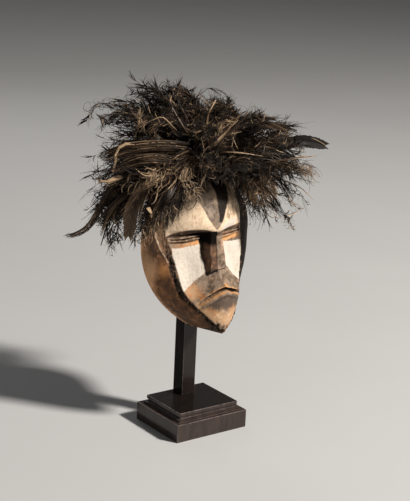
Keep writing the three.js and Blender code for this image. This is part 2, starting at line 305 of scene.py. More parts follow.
def stand_material(name, wear, shade=1.0):
    """Near-black polished wood. The wear lets the bare pale edge show, from 0 to 1. A shade below 1 darkens
    the wood's colours as painted shade, for a piece that stands in shadow.
    """
    material, tree, shader = new_material(name)

    def shaded(*colour):
        return tuple(shade * part for part in colour)

    grain = tree.grain(60.0, 0.7)
    wood = tree.blend(shaded(0.0145, 0.0106, 0.0095), shaded(0.060, 0.042, 0.036), grain)
    scuffs = tree.stained(190.0, 0.36)
    wood = tree.blend(wood, shaded(0.085, 0.066, 0.058), tree.times(scuffs, 0.25))
    # Painted dark reflection: the flat top of the plate is painted near black.
    wood = tree.blend(wood, (0.004, 0.003, 0.0028), tree.times(tree.attribute("painted_dark_top"), 0.8))
    rubbed = tree.steps(tree.noise(tree.place(), 140.0, 5, 0.7), 0.3, 0.62)
    tree.feed(shader.inputs["Base Color"], tree.blend(wood, (0.19, 0.155, 0.14), tree.times(rubbed, wear)))
    dust = tree.group(DUST, "Mask", Amount=0.25, Scale=500.0)
    rough = tree.plus(tree.times(grain, 0.1), tree.times(scuffs, 0.12))
    rough = tree.plus(rough, tree.times(dust, 0.2))
    tree.feed(shader.inputs["Roughness"], tree.plus(rough, 0.1, clamp=True))
    tree.feed(shader.inputs["Normal"], tree.bump(tree.grain(60.0, 0.7, "Height"), 0.12, 0.0004))
    shader.inputs["Specular IOR Level"].default_value = 0.2
    shader.inputs["Coat Weight"].default_value = 0.14
    shader.inputs["Coat Roughness"].default_value = 0.08
    return material


def mask_paint_material():
    """Dark carved wood under kaolin white, ochre and grey, and black that is partly paint and partly painted
    shade, worn along its borders.

    Each coat covers a painted place, whose distances make_mask stores on the skin. Its three numbers are
    how far the border frays and how soft it is, in millimetres, with the scale of the fraying between.
    """
    material, tree, shader = new_material("painted_mask_wood")
    blend, stained, partly = tree.blend, tree.stained, tree.times

    def border(place, ragged, scale, softness):
        distance = tree.attribute(place)
        return tree.group(RAGGED, "Mask", Distance=distance, Ragged=ragged, Scale=scale, Softness=softness)

    def coat(place, fray, paint, share=None):
        """Lays paint over what is there, within the border of a place, and thinly if it has a share."""
        nonlocal colour
        covered = border(place, *fray)
        colour = blend(colour, paint, covered if share is None else partly(covered, share))

    grain = tree.grain(70.0, 0.9)
    broad = stained(38.0, 0.5)
    stains = stained(75.0, 0.5)
    fine = stained(230.0, 0.45)
    specks = tree.steps(tree.noise(tree.place(), 900.0, 3, 0.6), 0.58, 0.72)
    # Bare wood of the side band, rubbed paler along its outer edge
    colour = blend((0.0665, 0.0293, 0.0146), (0.333, 0.153, 0.0665), grain)
    colour = blend(colour, (0.0399, 0.0226, 0.0146), partly(broad, 0.75))
    colour = blend(colour, (0.505, 0.239, 0.0998), partly(stained(120.0, 0.36), 0.6))
    coat("rusty", (12.0, 150.0, 5.0), (0.665, 0.293, 0.0998), 0.5)
    coat("rubbed", (14.0, 80.0, 5.0), blend((0.50, 0.25, 0.12), (0.86, 0.52, 0.29), grain), 0.8)
    coat("sooty", (8.0, 110.0, 4.5), (0.032, 0.02, 0.014), 0.75)
    # Grey-brown ground of the muzzle, the chin and the nose
    ground = blend((0.0931, 0.0625, 0.0426), (0.266, 0.193, 0.14), stains)
    ground = blend(ground, (0.359, 0.259, 0.186), partly(fine, 0.5))
    ground = blend(ground, (0.426, 0.2, 0.0865), partly(stained(95.0, 0.36), 0.35))
    coat("face", (3.0, 260.0, 1.5), ground)
    coat("lids", (2.0, 260.0, 1.4), blend((0.15, 0.098, 0.062), (0.44, 0.3, 0.205), fine), 0.85)
    # Tan and ochre on the chin, the muzzle, the lips and under the eyes
    low_chin = blend((0.66, 0.40, 0.22), (0.86, 0.62, 0.41), fine)
    low_chin = blend(low_chin, (0.266, 0.18, 0.126), partly(stains, 0.45))
    coat("low_chin", (12.0, 90.0, 4.0), low_chin, 0.85)
    coat("under_lip", (7.0, 110.0, 3.5), (0.075, 0.053, 0.041), 0.8)
    coat("warm", (14.0, 120.0, 5.0), blend((0.56, 0.235, 0.075), (0.46, 0.275, 0.145), stains), 0.8)
    ochre = blend((0.705, 0.313, 0.0998), (0.692, 0.412, 0.193), fine)
    ochre = blend(ochre, (0.372, 0.226, 0.14), partly(stains, 0.4))
    coat("ochre", (6.0, 150.0, 1.8), ochre, 0.84)
    coat("ragged_chin", (7.0, 220.0, 2.0), (0.0665, 0.0399, 0.0266), 0.6)
    # Cream forehead and kaolin cheeks, with brown streaks on the right of the forehead
    cream = blend((0.76, 0.59, 0.425), (0.60, 0.43, 0.285), fine)
    coat("forehead", (3.0, 240.0, 0.8), blend(cream, (0.426, 0.279, 0.16), partly(specks, 0.45)))
    kaolin = blend((0.62, 0.555, 0.48), (0.53, 0.46, 0.38), partly(fine, 0.8))
    coat("cheek", (2.4, 300.0, 0.7), blend(kaolin, (0.42, 0.31, 0.21), partly(specks, 0.4)))
    streaks = tree.steps(tree.grain(130.0, 1.2), 0.36, 0.52)
    streaks = partly(streaks, border("streaked", 5.0, 160.0, 2.5))
    colour = blend(colour, (0.173, 0.109, 0.0692), partly(streaks, 0.8))
    # Slate wedge with the painted shadow of the feathers on its right, dark brows with painted shade under
    # them, and the umber side of the nose with the nose's painted shadow beside it
    slate = blend((0.12, 0.089, 0.069), (0.31, 0.235, 0.18), stains)
    coat("wedge", (2.4, 240.0, 0.9), blend(slate, (0.50, 0.33, 0.2), partly(broad, 0.42)))
    # Painted shadow: the feathers' shadow, near black, on the right of the wedge and the forehead.
    coat("feather_shadow", (5.0, 130.0, 1.6), (0.009, 0.006, 0.0045), 0.98)
    # Dark brown under the left brow's ledge: partly dark paint, partly painted shade under the ledge.
    brow = blend((0.035, 0.019, 0.012), (0.2, 0.125, 0.075), stained(170.0, 0.42))
    coat("brow", (2.0, 240.0, 1.6), brow, 0.9)
    coat("brow_stripes", (2.5, 200.0, 0.9), (0.213, 0.0931, 0.0399), 0.75)
    # The nose's left side: dark umber paint, which runs on past the nose's foot as painted shadow of the nose
    # on the cheek.
    umber_and_shadow = blend((0.0293, 0.0186, 0.0133), (0.106, 0.0625, 0.0412), stains)
    patch = blend((0.0931, 0.0505, 0.0319), (0.239, 0.126, 0.0692), fine)
    coat("nose_side", (1.6, 300.0, 0.8), blend(umber_and_shadow, patch, border("nose_patch", 3.0, 200.0, 1.6)))
    # The pitted border: crusted black low down, fibrous brown higher up
    crust = blend((0.0133, 0.00931, 0.00665), (0.226, 0.126, 0.0665), stained(330.0, 0.40))
    fibrous = blend((0.015, 0.009, 0.006), (0.23, 0.135, 0.075), tree.grain(190.0, 1.9))
    coat("strip", (6.0, 200.0, 1.4), blend(crust, fibrous, tree.steps(tree.attribute("height"), 244, 272)))
    # Painted shade: the side band on the right is painted near black, where it lies in shadow.
    coat("shaded_side", (4.0, 120.0, 2.0), (0.00798, 0.00598, 0.00532), 0.97)
    coat("scratch", (3.2, 180.0, 1.0), (0.612, 0.452, 0.313), 0.85)
    # Black in the slits and creases and under the brow and the nose: partly black paint, partly painted
    # shade.
    black_paint_and_shade = border("black_paint_and_shade", 1.6, 320.0, 0.8)
    colour = blend(colour, (0.006, 0.0045, 0.004), black_paint_and_shade)
    # Painted shade: darker in the pits, cracks, splinters and the mouth.
    hollow_shade = tree.steps(tree.attribute("cavity"), 0.15, 1.0)
    colour = blend(colour, (0.0266, 0.0173, 0.012), partly(hollow_shade, 0.8))
    tree.feed(shader.inputs["Base Color"], colour)
    tree.feed(shader.inputs["Roughness"], tree.steps(fine, 0.0, 1.0, 0.62, 0.84))
    tree.feed(shader.inputs["Specular IOR Level"], tree.steps(black_paint_and_shade, 0.0, 1.0, 0.18, 0.03))
    grit = tree.noise(tree.place(), 1400.0, 4, 0.7)
    worked = tree.plus(partly(grit, 0.5), partly(tree.grain(120.0, 1.0, "Height"), 0.5))
    tree.feed(shader.inputs["Normal"], tree.bump(worked, 0.35, 0.0005))
    return material


def hollow_material():
    """Bare carved wood inside the mask, darkened by handling."""
    material, tree, shader = new_material("carved_hollow_wood")
    grain = tree.grain(80.0, 1.0)
    colour = tree.blend((0.05, 0.029, 0.018), (0.17, 0.095, 0.053), grain)
    colour = tree.blend(colour, (0.024, 0.015, 0.010), tree.times(tree.stained(45.0, 0.42), 0.7))
    tree.feed(shader.inputs["Base Color"], colour)
    tree.feed(shader.inputs["Roughness"], tree.steps(grain, 0, 1, 0.5, 0.75))
    tree.feed(shader.inputs["Normal"], tree.bump(tree.grain(110.0, 1.0, "Height"), 0.4, 0.0006))
    return material


# Colours of a feather by its tone, from near black to dusty tan
FEATHER_COLOURS = [
    (0, (0.004, 0.0028, 0.0021)),
    (0.45, (0.010, 0.006, 0.0038)),
    (0.68, (0.034, 0.019, 0.011)),
    (0.85, (0.13, 0.08, 0.045)),
    (1, (0.38, 0.265, 0.165)),
]


def feather_material():
    """Old dark feather. The tone says how pale it is, from 0 to 1, and it is paler toward a barb's tip."""
    material, tree, shader = new_material("old_dark_feather")
    patches = tree.noise(tree.place(), 38.0, 4, 0.6)
    uneven = tree.plus(tree.attribute("tone"), tree.times(tree.minus(patches, 0.5), 0.5))
    level = tree.plus(uneven, tree.times(tree.attribute("along"), 0.12), clamp=True)
    ramp = tree.add("ShaderNodeValToRGB", Fac=level)
    stops = ramp.color_ramp.elements
    for position, _ in FEATHER_COLOURS[1:-1]:
        stops.new(position)
    for stop, (_, colour) in zip(stops, FEATHER_COLOURS):
        stop.color = (*colour, 1)
    dust = tree.group(DUST, "Mask", Amount=0.1, Scale=160.0)
    tree.feed(shader.inputs["Base Color"], tree.blend(ramp.outputs["Color"], (0.11, 0.083, 0.058), dust))
    tree.feed(shader.inputs["Roughness"], tree.steps(patches, 0.3, 0.7, 0.42, 0.62))
    shader.inputs["Specular IOR Level"].default_value = 0.25
    return material


# Shape helpers

def curve_through(*keys):
    """A smooth curve through (position, value) keys, level beyond the first and the last."""
    places, values = np.array(keys, float).T
    last = len(keys) - 1
    before = np.maximum(np.arange(last + 1) - 1, 0)
    after = np.minimum(np.arange(last + 1) + 1, last)
    slopes = (values[after] - values[before]) / (places[after] - places[before])

    def height(at):
        at = np.clip(at, places[0], places[-1])
        i = np.clip(np.searchsorted(places, at, side="right") - 1, 0, last - 1)
        span = places[i + 1] - places[i]
        t = (at - places[i]) / span
        rise = values[i + 1] - values[i]
        a = slopes[i] * span
        b = slopes[i + 1] * span
        return values[i] + a * t + (3 * rise - 2 * a - b) * t ** 2 + (a + b - 2 * rise) * t ** 3

    return height


def hill(at, centre, reach):
    """A hill of height 1 at centre, which falls to nothing at reach on either side."""
    t = np.abs(at - centre) / reach
    return np.where(t < 1, (1 - t * t) ** 2, 0.0)


def smoothstep(value, low, high):
    t = np.clip((value - low) / (high - low), 0, 1)
    return t * t * (3 - 2 * t)


def unit(vectors):
    length = np.linalg.norm(vectors, axis=-1, keepdims=True)
    return vectors / np.maximum(length, 1e-9)


def as_mesh(shape, name):
    """The bmesh as a mesh. The bmesh is used up."""
    mesh = bpy.data.meshes.new(name)
    shape.to_mesh(mesh)
    shape.free()
    return mesh


def in_metres(shape, name):
    """The bmesh, which is in millimetres, as a mesh in metres."""
    bmesh.ops.scale(shape, vec=(MM, MM, MM), verts=shape.verts)
    return as_mesh(shape, name)


def add_piece(mesh, replaced, materials):
    """A piece named after its mesh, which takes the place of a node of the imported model."""
    piece = bpy.data.objects.new(mesh.name, mesh)
    bpy.context.collection.objects.link(piece)
    for material in materials:
        mesh.materials.append(material)
    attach(piece, "root")
    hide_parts(replaced)


def set_attribute(mesh, name, values):
    layer = mesh.attributes.new(name, "FLOAT", "POINT")
    layer.data.foreach_set("value", np.ascontiguousarray(values, dtype=np.float32))


def all_parts(shape):
    return shape.verts[:] + shape.edges[:] + shape.faces[:]


# Floor

def make_floor():
    shape = bmesh.new()
    bmesh.ops.create_grid(shape, x_segments=8, y_segments=8, size=16)
    mesh = as_mesh(shape, "floor")
    mesh.materials.append(floor_material())
    floor = bpy.data.objects.new("floor", mesh)
    bpy.context.collection.objects.link(floor)


# Stand

EDGE_ROUNDING = 0.7
SHARP_DEGREES = 30


def rounded(shape, worn):
    """Rounds each edge where two faces meet sharply. The roundings that are worn take the second material."""
    edges = [edge for edge in shape.edges
             if edge.is_manifold and edge.calc_face_angle() > math.radians(SHARP_DEGREES)]
    made = bmesh.ops.bevel(shape, geom=edges, offset=EDGE_ROUNDING, offset_type="OFFSET", segments=3,
                           profile=0.5, affect="EDGES", clamp_overlap=True, material=-1)
    for face in made["faces"]:
        face.material_index = int(worn(face.calc_center_median()))


def make_base(materials):
    """One block turned into steps: block, ledge, hollow moulding and overhanging plate."""
    block_top, ledge_inset, ledge_top, plate_inset, plate_underside = 25.2, 6.5, 28.0, 9.5, 31.8
    hollow_foot, hollow_reach, hollow_steps = ledge_inset + 1.2, 3.2, 10
    profile = [(0, BASE_LOW.z), (0, block_top), (ledge_inset, block_top), (ledge_inset, ledge_top)]
    for i in range(hollow_steps + 1):
        turn = math.pi / 2 * i / hollow_steps
        inset = hollow_foot + hollow_reach * math.sin(turn)
        profile.append((inset, plate_underside - (plate_underside - ledge_top) * math.cos(turn)))
    profile += [(plate_inset, plate_underside), (plate_inset, BASE_HIGH.z)]
    half = (BASE_HIGH - BASE_LOW) / 2
    shape = bmesh.new()
    bmesh.ops.create_cube(shape, size=2)
    bmesh.ops.scale(shape, vec=(half.x, half.y, block_top / 2), verts=shape.verts)
    bmesh.ops.translate(shape, vec=(0, 0, BASE_LOW.z + block_top / 2), verts=shape.verts)
    top = max(shape.faces, key=lambda face: face.calc_center_median().z)
    for (inset, height), (next_inset, next_height) in zip(profile[1:], profile[2:]):
        top = bmesh.ops.extrude_discrete_faces(shape, faces=[top])["faces"][0]
        shrink = ((half.x - next_inset) / (half.x - inset), (half.y - next_inset) / (half.y - inset), 1)
        bmesh.ops.scale(shape, vec=shrink, verts=top.verts)
        bmesh.ops.translate(shape, vec=(0, 0, next_height - height), verts=top.verts)
    bmesh.ops.recalc_face_normals(shape, faces=shape.faces)
    rounded(shape, lambda place: place.z < block_top + 0.1 or place.z > BASE_HIGH.z - 1)
    # The flat top of the plate is painted near black, darker than its rounding and its sides, as a painted
    # dark reflection.
    top_share = [float(smoothstep(vert.co.z, BASE_HIGH.z - 0.5, BASE_HIGH.z)) for vert in shape.verts]
    mesh = in_metres(shape, "stand_base_wood")
    set_attribute(mesh, "painted_dark_top", top_share)
    add_piece(mesh, "stand_base", materials)


def make_post(materials):
    """The square bar, with the hook that the mask hangs on drawn out of its front face."""
    hook_drop, hook_clearance, front = 6.0, 1.2, 14.2
    shape = bmesh.new()
    bmesh.ops.create_cube(shape, size=1)
    top = POST_HIGH.z - hook_clearance
    size = Vector((POST_HIGH.x - POST_LOW.x, POST_HIGH.y - front, top - POST_LOW.z))
    middle = Vector(((POST_HIGH.x + POST_LOW.x) / 2, (POST_HIGH.y + front) / 2, (top + POST_LOW.z) / 2))
    bmesh.ops.scale(shape, vec=size, verts=shape.verts)
    bmesh.ops.translate(shape, vec=middle, verts=shape.verts)
    bmesh.ops.bisect_plane(shape, geom=all_parts(shape), plane_co=(0, 0, top - hook_drop), plane_no=(0, 0, 1))
    hook_face = [face for face in shape.faces
                 if face.normal.y < -0.9 and face.calc_center_median().z > top - hook_drop]
    drawn = bmesh.ops.extrude_discrete_faces(shape, faces=hook_face)["faces"][0]
    bmesh.ops.translate(shape, vec=(0, POST_LOW.y + hook_clearance - front, 0), verts=drawn.verts)
    bmesh.ops.recalc_face_normals(shape, faces=shape.faces)
    rounded(shape, lambda place: True)
    add_piece(in_metres(shape, "stand_post_wood"), "stand_post", materials)


# Mask: the same rows, edge and depths as the solid, on a grid fine enough for carving marks

RIM_EGG = {"half_width": 88, "wide": 267, "top": 351, "bottom": 136.5, "power": 2.2, "roundness": 0.9}
FACE_EGG = {"half_width": 62, "wide": 290, "top": 345, "bottom": 146, "power": 2.4, "roundness": 0.8}
MOUTH_HEIGHT = 209.5
MOUTH_HALF_WIDTH = 34
NOSE_BOTTOM = 230
NOSE_ROOT = 281
NOSE_WALL = 1.8
EYE_HEIGHT = 270
BROW_ARCH = 5.5
SIDE_BULGE = np.array([3.5, -2.5, 0])

row_droop = curve_through(
    (146, 0), (172, -10), (209, -23), (230, -24), (247, -8), (262, 0), (281, -4), (320, 0))
middle_depth = curve_through(
    (146, 55), (151, 60), (172, 63), (196, 61.5), (209, 59), (228, 34), (237, 25), (258, 21),
    (272, 20), (281, 33.5), (305, 31), (331, 20.5), (345, 2))
edge_depth = curve_through(
    (146, 55), (152, 55), (165, 50), (180, 42.5), (197, 33), (208, 26.5), (232, 19.5), (251, 13),
    (279, 3), (310, -1), (345, -4))
cross_roundness = curve_through(
    (146, 2), (196, 2), (225, 1.6), (240, 1.5), (262, 2), (285, 2.2), (345, 2))
nose_half_right = curve_through((NOSE_BOTTOM, 15.5), (258, 11), (NOSE_ROOT, 8))
nose_ridge = curve_through((NOSE_BOTTOM, 41), (NOSE_ROOT, 34))
nose_edge = curve_through((NOSE_BOTTOM, 39), (NOSE_ROOT, 32))
mouth_line = curve_through(
    (-34, MOUTH_HEIGHT - 3.6), (-20, MOUTH_HEIGHT - 1.6), (-6, MOUTH_HEIGHT), (6, MOUTH_HEIGHT),
    (24, MOUTH_HEIGHT + 3.4), (42, MOUTH_HEIGHT + 7.8))
hollow_depth = curve_through(
    (145, 30), (165, 42), (200, 38), (225, 22), (250, 11), (268, 10), (300, 17), (330, 8), (342, 0))

NOSE_COLUMNS, WALL_COLUMNS, CHEEK_COLUMNS, BAND_COLUMNS = 22, 8, 64, 36
HALF_COLUMNS = NOSE_COLUMNS + WALL_COLUMNS + CHEEK_COLUMNS + BAND_COLUMNS
FACE_COLUMNS = HALF_COLUMNS - BAND_COLUMNS
HOLLOW_COLUMNS = 28


def egg_half_width(egg, z):
    above = np.clip((z - egg["wide"]) / (egg["top"] - egg["wide"]), 0, 1)
    below = np.clip((egg["wide"] - z) / (egg["wide"] - egg["bottom"]), 0, 1)
    upper = np.sqrt(1 - above ** 2)
    lower = (1 - below ** egg["power"]) ** egg["roundness"]
    return egg["half_width"] * np.where(z >= egg["wide"], upper, lower)


def egg_turn(egg, z):
    reach = np.where(z > egg["wide"], egg["top"] - egg["wide"], egg["wide"] - egg["bottom"])
    return np.arcsin(np.clip((z - egg["wide"]) / reach, -1, 1))


def egg_height(egg, turn):
    reach = np.where(turn > 0, egg["top"] - egg["wide"], egg["wide"] - egg["bottom"])
    return egg["wide"] + np.sin(turn) * reach


def nose_bottom(x):
    """The lower end of the nose, a little higher on its right."""
    return NOSE_BOTTOM + 3.6 * smoothstep(x, -2, 13)


def nose_half(x, v):
    """Half the width of the nose, which is carved a little narrower low on its left."""
    return nose_half_right(v) - 4.0 * (1 - smoothstep(v, 243, 256)) * (np.asarray(x) < 0)


def eye_lift(x):
    """How far the lines of an eye lie above EYE_HEIGHT: more toward the right of the face on either side."""
    return np.where(x < 0, 0.8 + 2.6 * smoothstep(x, -52, -18), 1.2 + 3.6 * smoothstep(x, 14, 54))


def carving(x, v, u):
    """Eyelids, slits, lips and cheeks, as height over the plain face."""
    side = np.abs(x)
    at_eye = v - eye_lift(x)
    eye_span = np.sqrt(np.maximum(0, 1 - ((side - 35) / 25) ** 2))
    eye_span = eye_span * np.where(x < 0, smoothstep(side, 12, 21), 1)
    lids = 4.2 * eye_span * hill(at_eye, EYE_HEIGHT, 7.5)
    slit = -2.6 * smoothstep(eye_span, 0, 0.5) * hill(at_eye, EYE_HEIGHT, 1.8)
    cheek = -2.5 * hill(side, 36, 24) * hill(v, 238, 20)
    mouth_span = smoothstep(MOUTH_HALF_WIDTH + 8 * (x > 0) - side, 0, 9)
    line = mouth_line(x)
    mouth = -4.5 * mouth_span * hill(v, line, 2.2)
    lower_lip = 2.6 * mouth_span * hill(v, line - 5.5, 5.5)
    upper_lip = 1.4 * mouth_span * hill(v, line + 3.6, 2.8)
    # Two thin ridges follow each lid, with a crease above and below them.
    fine_span = smoothstep(eye_span, 0.1, 0.6)
    ridges = fine_span * (
        1.1 * hill(at_eye, EYE_HEIGHT + 2.8, 1.7) + 1.0 * hill(at_eye, EYE_HEIGHT - 2.4, 1.6)
        - 1.1 * hill(at_eye, EYE_HEIGHT - 4.8, 1.2) - 0.8 * hill(at_eye, EYE_HEIGHT + 5.2, 1.3))
    under_nose = 7 * smoothstep(x, -3, 3) * (1 - smoothstep(x, 11, 20))
    under_nose = under_nose * smoothstep(v, 216, nose_bottom(x) - 1) * (v < nose_bottom(x) - 0.4)
    beside_nose = 4.5 * hill(v, 240, 17) * (1 - smoothstep(side - nose_half(x, v), 2, 28))
    carved = lids + slit + cheek + mouth + lower_lip + upper_lip + ridges + under_nose + beside_nose
    # Nothing is carved at the very edge of the face, where u is 1 or -1.
    return carved * (1 - u ** 8)


def face_depth(x, v, u):
    side = np.abs(x)
    half = nose_half(x, v)
    edge = edge_depth(v + row_droop(v) * np.abs(u) ** 1.3)
    arch = BROW_ARCH * smoothstep(side, 3, 24) * hill(v, NOSE_ROOT, 34)
    at_lips = (MOUTH_HEIGHT - mouth_line(x)) * hill(v, MOUTH_HEIGHT, 26)
    plain = edge + (middle_depth(v - arch + at_lips) - edge) * (1 - np.abs(u) ** cross_roundness(v))
    depth = plain + carving(x, v, u)
    crest = nose_ridge(v) + (nose_edge(v) - nose_ridge(v)) * np.minimum(side / half, 1)
    wall = np.clip((side - half) / NOSE_WALL, 0, 1)
    on_nose = (v > NOSE_BOTTOM - 0.01) & (v < NOSE_ROOT + 4) & (side <= half + NOSE_WALL)
    drop = np.where(x > -2, 1 - smoothstep(v, nose_bottom(x) - 0.6, nose_bottom(x) + 0.6), 0)
    return np.where(on_nose, np.maximum(depth, crest + (depth - crest) * np.maximum(wall, drop)), depth)


def row_heights():
    nose_underside = 0.8
    bands = [(FACE_EGG["bottom"], 198, 70), (198, 216, 40), (216, NOSE_BOTTOM - nose_underside, 18),
             (NOSE_BOTTOM - nose_underside, NOSE_BOTTOM, 2), (NOSE_BOTTOM, 258, 38), (258, 290, 72),
             (290, FACE_EGG["top"], 60)]
    rows = [np.linspace(low, high, count, endpoint=False) for low, high, count in bands]
    return np.append(np.concatenate(rows), FACE_EGG["top"])


def mask_outside_points():
    """Points of the outer skin in rows from the chin up, which run from rim to rim, and each row's turn."""
    v = row_heights()[:, None]
    edge_z = v + row_droop(v)
    at_end = (v <= FACE_EGG["bottom"]) | (v >= FACE_EGG["top"])
    edge_x = np.where(at_end, 0, egg_half_width(FACE_EGG, edge_z))
    foot = np.minimum(NOSE_WALL, edge_x * 0.05)
    cheek = np.linspace(0, 1, CHEEK_COLUMNS + 1)
    turn = egg_turn(FACE_EGG, edge_z)
    rim_z = egg_height(RIM_EGG, turn)
    rim = np.stack([egg_half_width(RIM_EGG, rim_z), np.full_like(rim_z, RIM_Y), rim_z], axis=-1)
    along = (np.arange(1, BAND_COLUMNS + 1) / BAND_COLUMNS)[None, :, None]
    swell = np.sin(np.pi * along) * np.maximum(np.cos(turn), 0)[..., None] ** 0.5
    halves = []
    for side in (-1, 1):
        nose_x = np.minimum(nose_half(side, v), edge_x * 0.4)
        x = np.hstack([
            nose_x * np.linspace(0, 1, NOSE_COLUMNS, endpoint=False),
            nose_x + foot * np.linspace(0, 1, WALL_COLUMNS, endpoint=False),
            nose_x + foot + (edge_x - nose_x - foot) * cheek,
        ])
        u = np.divide(x, edge_x, out=np.zeros_like(x), where=edge_x > 0)
        v_all = np.broadcast_to(v, x.shape)
        face = np.stack([x, -face_depth(side * x, v_all, u), v + row_droop(v) * u ** 1.3], axis=-1)
        band = face[:, -1:] + (rim - face[:, -1:]) * along + SIDE_BULGE * swell
        halves.append(np.concatenate([face, band], axis=1) * np.array([side, 1, 1]))
    return np.concatenate([halves[0][:, :0:-1], halves[1]], axis=1), turn[:, 0]


def mask_hollow_points(turn):
    """The bowl behind the face, with a row for each row of the outer skin."""
    egg = {**RIM_EGG, "half_width": RIM_EGG["half_width"] - WALL, "top": RIM_EGG["top"] - WALL,
           "bottom": RIM_EGG["bottom"] + WALL}
    z = egg_height(egg, turn)[:, None]
    half_width = egg_half_width(egg, z)
    half_width[[0, -1]] = 0
    share = np.clip((z - egg["bottom"]) / (egg["top"] - egg["bottom"]), 0, 1)
    # The solid's rows are spread by a cosine, and its bowl follows the row's number.
    row = np.arccos(1 - 2 * share) / np.pi
    sweep = np.linspace(0, np.pi, HOLLOW_COLUMNS + 1)[None, :]
    reach = np.sin(sweep) ** 1.5 * np.sin(np.pi * row) ** 0.45
    x = -half_width * np.cos(sweep)
    y = RIM_Y - (RIM_Y + hollow_depth(z)) * reach
    return np.stack([x, y, np.broadcast_to(z, x.shape)], axis=-1)


def surface_normals(points):
    across = np.gradient(points, axis=1)
    upward = np.gradient(points, axis=0)
    return unit(np.cross(across, upward))


def at_each(measure, points, scale, offset, squeeze):
    """What measure gives at each point. Its details are about scale millimetres, and long where squeezed."""
    shift = Vector((offset, offset * 0.7, offset * 1.3))
    flat = (points * np.array(squeeze) / scale).reshape(-1, 3)
    return np.array([measure(Vector(place) + shift) for place in flat]).reshape(points.shape[:-1])


def noise_at(points, scale, offset, squeeze=(1, 1, 1)):
    """Smooth noise from -1 to 1."""
    return at_each(noise.noise, points, scale, offset, squeeze)


def cells_at(points, scale, offset, squeeze):
    """Distance to the middle of the nearest of many irregular cells, as a share of their size."""
    return at_each(lambda place: noise.voronoi(place)[0][0], points, scale, offset, squeeze)


def line_distance(x, z, corners):
    """Distance to the line through the corners."""
    nearest = np.full(x.shape, np.inf)
    for (x0, z0), (x1, z1) in zip(corners, corners[1:]):
        run, rise = x1 - x0, z1 - z0
        along = np.clip(((x - x0) * run + (z - z0) * rise) / (run ** 2 + rise ** 2), 0, 1)
        nearest = np.minimum(nearest, np.hypot(x - x0 - along * run, z - z0 - along * rise))
    return nearest


def inside_distance(x, z, outline):
    """Signed distance to a closed outline, positive inside."""
    closed = [*outline, outline[0]]
    inside = np.zeros(x.shape, bool)
    for (x0, z0), (x1, z1) in zip(closed, closed[1:]):
        if z0 != z1:
            inside ^= ((z0 > z) != (z1 > z)) & (x < x0 + (z - z0) * ((x1 - x0) / (z1 - z0)))
    nearest = line_distance(x, z, closed)
    return np.where(inside, nearest, -nearest)


# Painted places, as the mask is seen from the front: x from its middle line, z from the floor
LEFT_CHEEK = [(-55.5, 259.5), (-51, 258.5), (-37, 260.3), (-15, 262.5), (-10.5, 244), (-11.5, 231),
              (-16, 225), (-26.5, 217.5), (-36.5, 209), (-46, 203), (-50, 221), (-54, 240), (-56.5, 249)]
RIGHT_CHEEK = [(10, 264), (37, 260), (56, 259), (55, 238), (49, 217), (46, 207), (35, 218), (27, 228),
               (17, 232.5), (12.5, 250)]
RIGHT_FOREHEAD = [(6, 282), (13, 290), (24, 295), (34, 294), (39, 288), (30, 283.5), (18, 281)]
brow_line = curve_through(
    (-61, 274), (-47, 281), (-34, 284.5), (-18, 284), (0, 280.5), (21, 282.5), (36, 283.5), (52, 282),
    (61, 279))
# Edge of the umber on the nose's left side, and of the painted shadow of the nose beyond its foot.
umber_and_shadow_edge = curve_through(
    (229, -13.6), (234, -13.6), (240, -14.6), (245, -16.2), (251, -17), (261, -17.2), (267, -18.6),
    (280, -19.4))
wedge_half_width = curve_through((282, 0), (295, 10.6), (313, 19), (323, 24), (345, 34))
strip_inner = curve_through(
    (150, 2), (162, 14), (174, 25), (186, 36), (203, 46), (225, 51), (251, 57), (270, 61), (291, 63))
strip_outer = curve_through(
    (145, 8), (160, 19), (172, 29.5), (185, 40), (195.5, 49), (211.5, 55.5), (232, 61), (251, 64), (269, 70),
    (291, 76))
SCRATCH = [(-77.5, 288), (-70, 259), (-62.5, 241)]


def ochre_zone(x, v):
    """Ochre under the eyes, along the lips, beside the muzzle and low on the chin."""
    side = np.abs(x)
    mouth = v - mouth_line(x)
    under_left_eye = np.minimum(4.8 * hill(x, -17, 30) - 0.8 - np.abs(v - 264.2), -13 - x)
    under_right_eye = np.minimum(3.8 - np.abs(v - eye_lift(x) * 0.6 - 265), np.minimum(x - 10, 56 - x) * 0.4)
    lower_lip = 0.7 - np.abs(mouth + 2.6) - 4 * smoothstep(side, 32, 42)
    upper_lip = 0.7 + 0.9 * hill(x, 2, 12) - np.abs(mouth - 2.2) - 4 * smoothstep(side, 30, 40)
    philtrum = 2.4 - np.hypot((x - 4.5) / 1.6, v - 212.6)
    return np.maximum.reduce([under_left_eye, under_right_eye, lower_lip, upper_lip, philtrum])


def warm_zone(x, v, z):
    """Soft tan places on the muzzle, under the left eye and on the chin."""
    muzzle_left = 9.0 - np.hypot((x + 35) / 1.1, z - 203)
    under_eye = 4.0 - np.hypot((x + 38) / 3.5, v - 261)
    chin_left = 5.5 - np.hypot((x + 21) / 1.3, z - 177)
    chin_right = 5.0 - np.hypot(x - 13, (z - 175) / 1.5)
    return np.maximum.reduce([muzzle_left, under_eye, chin_left, chin_right])


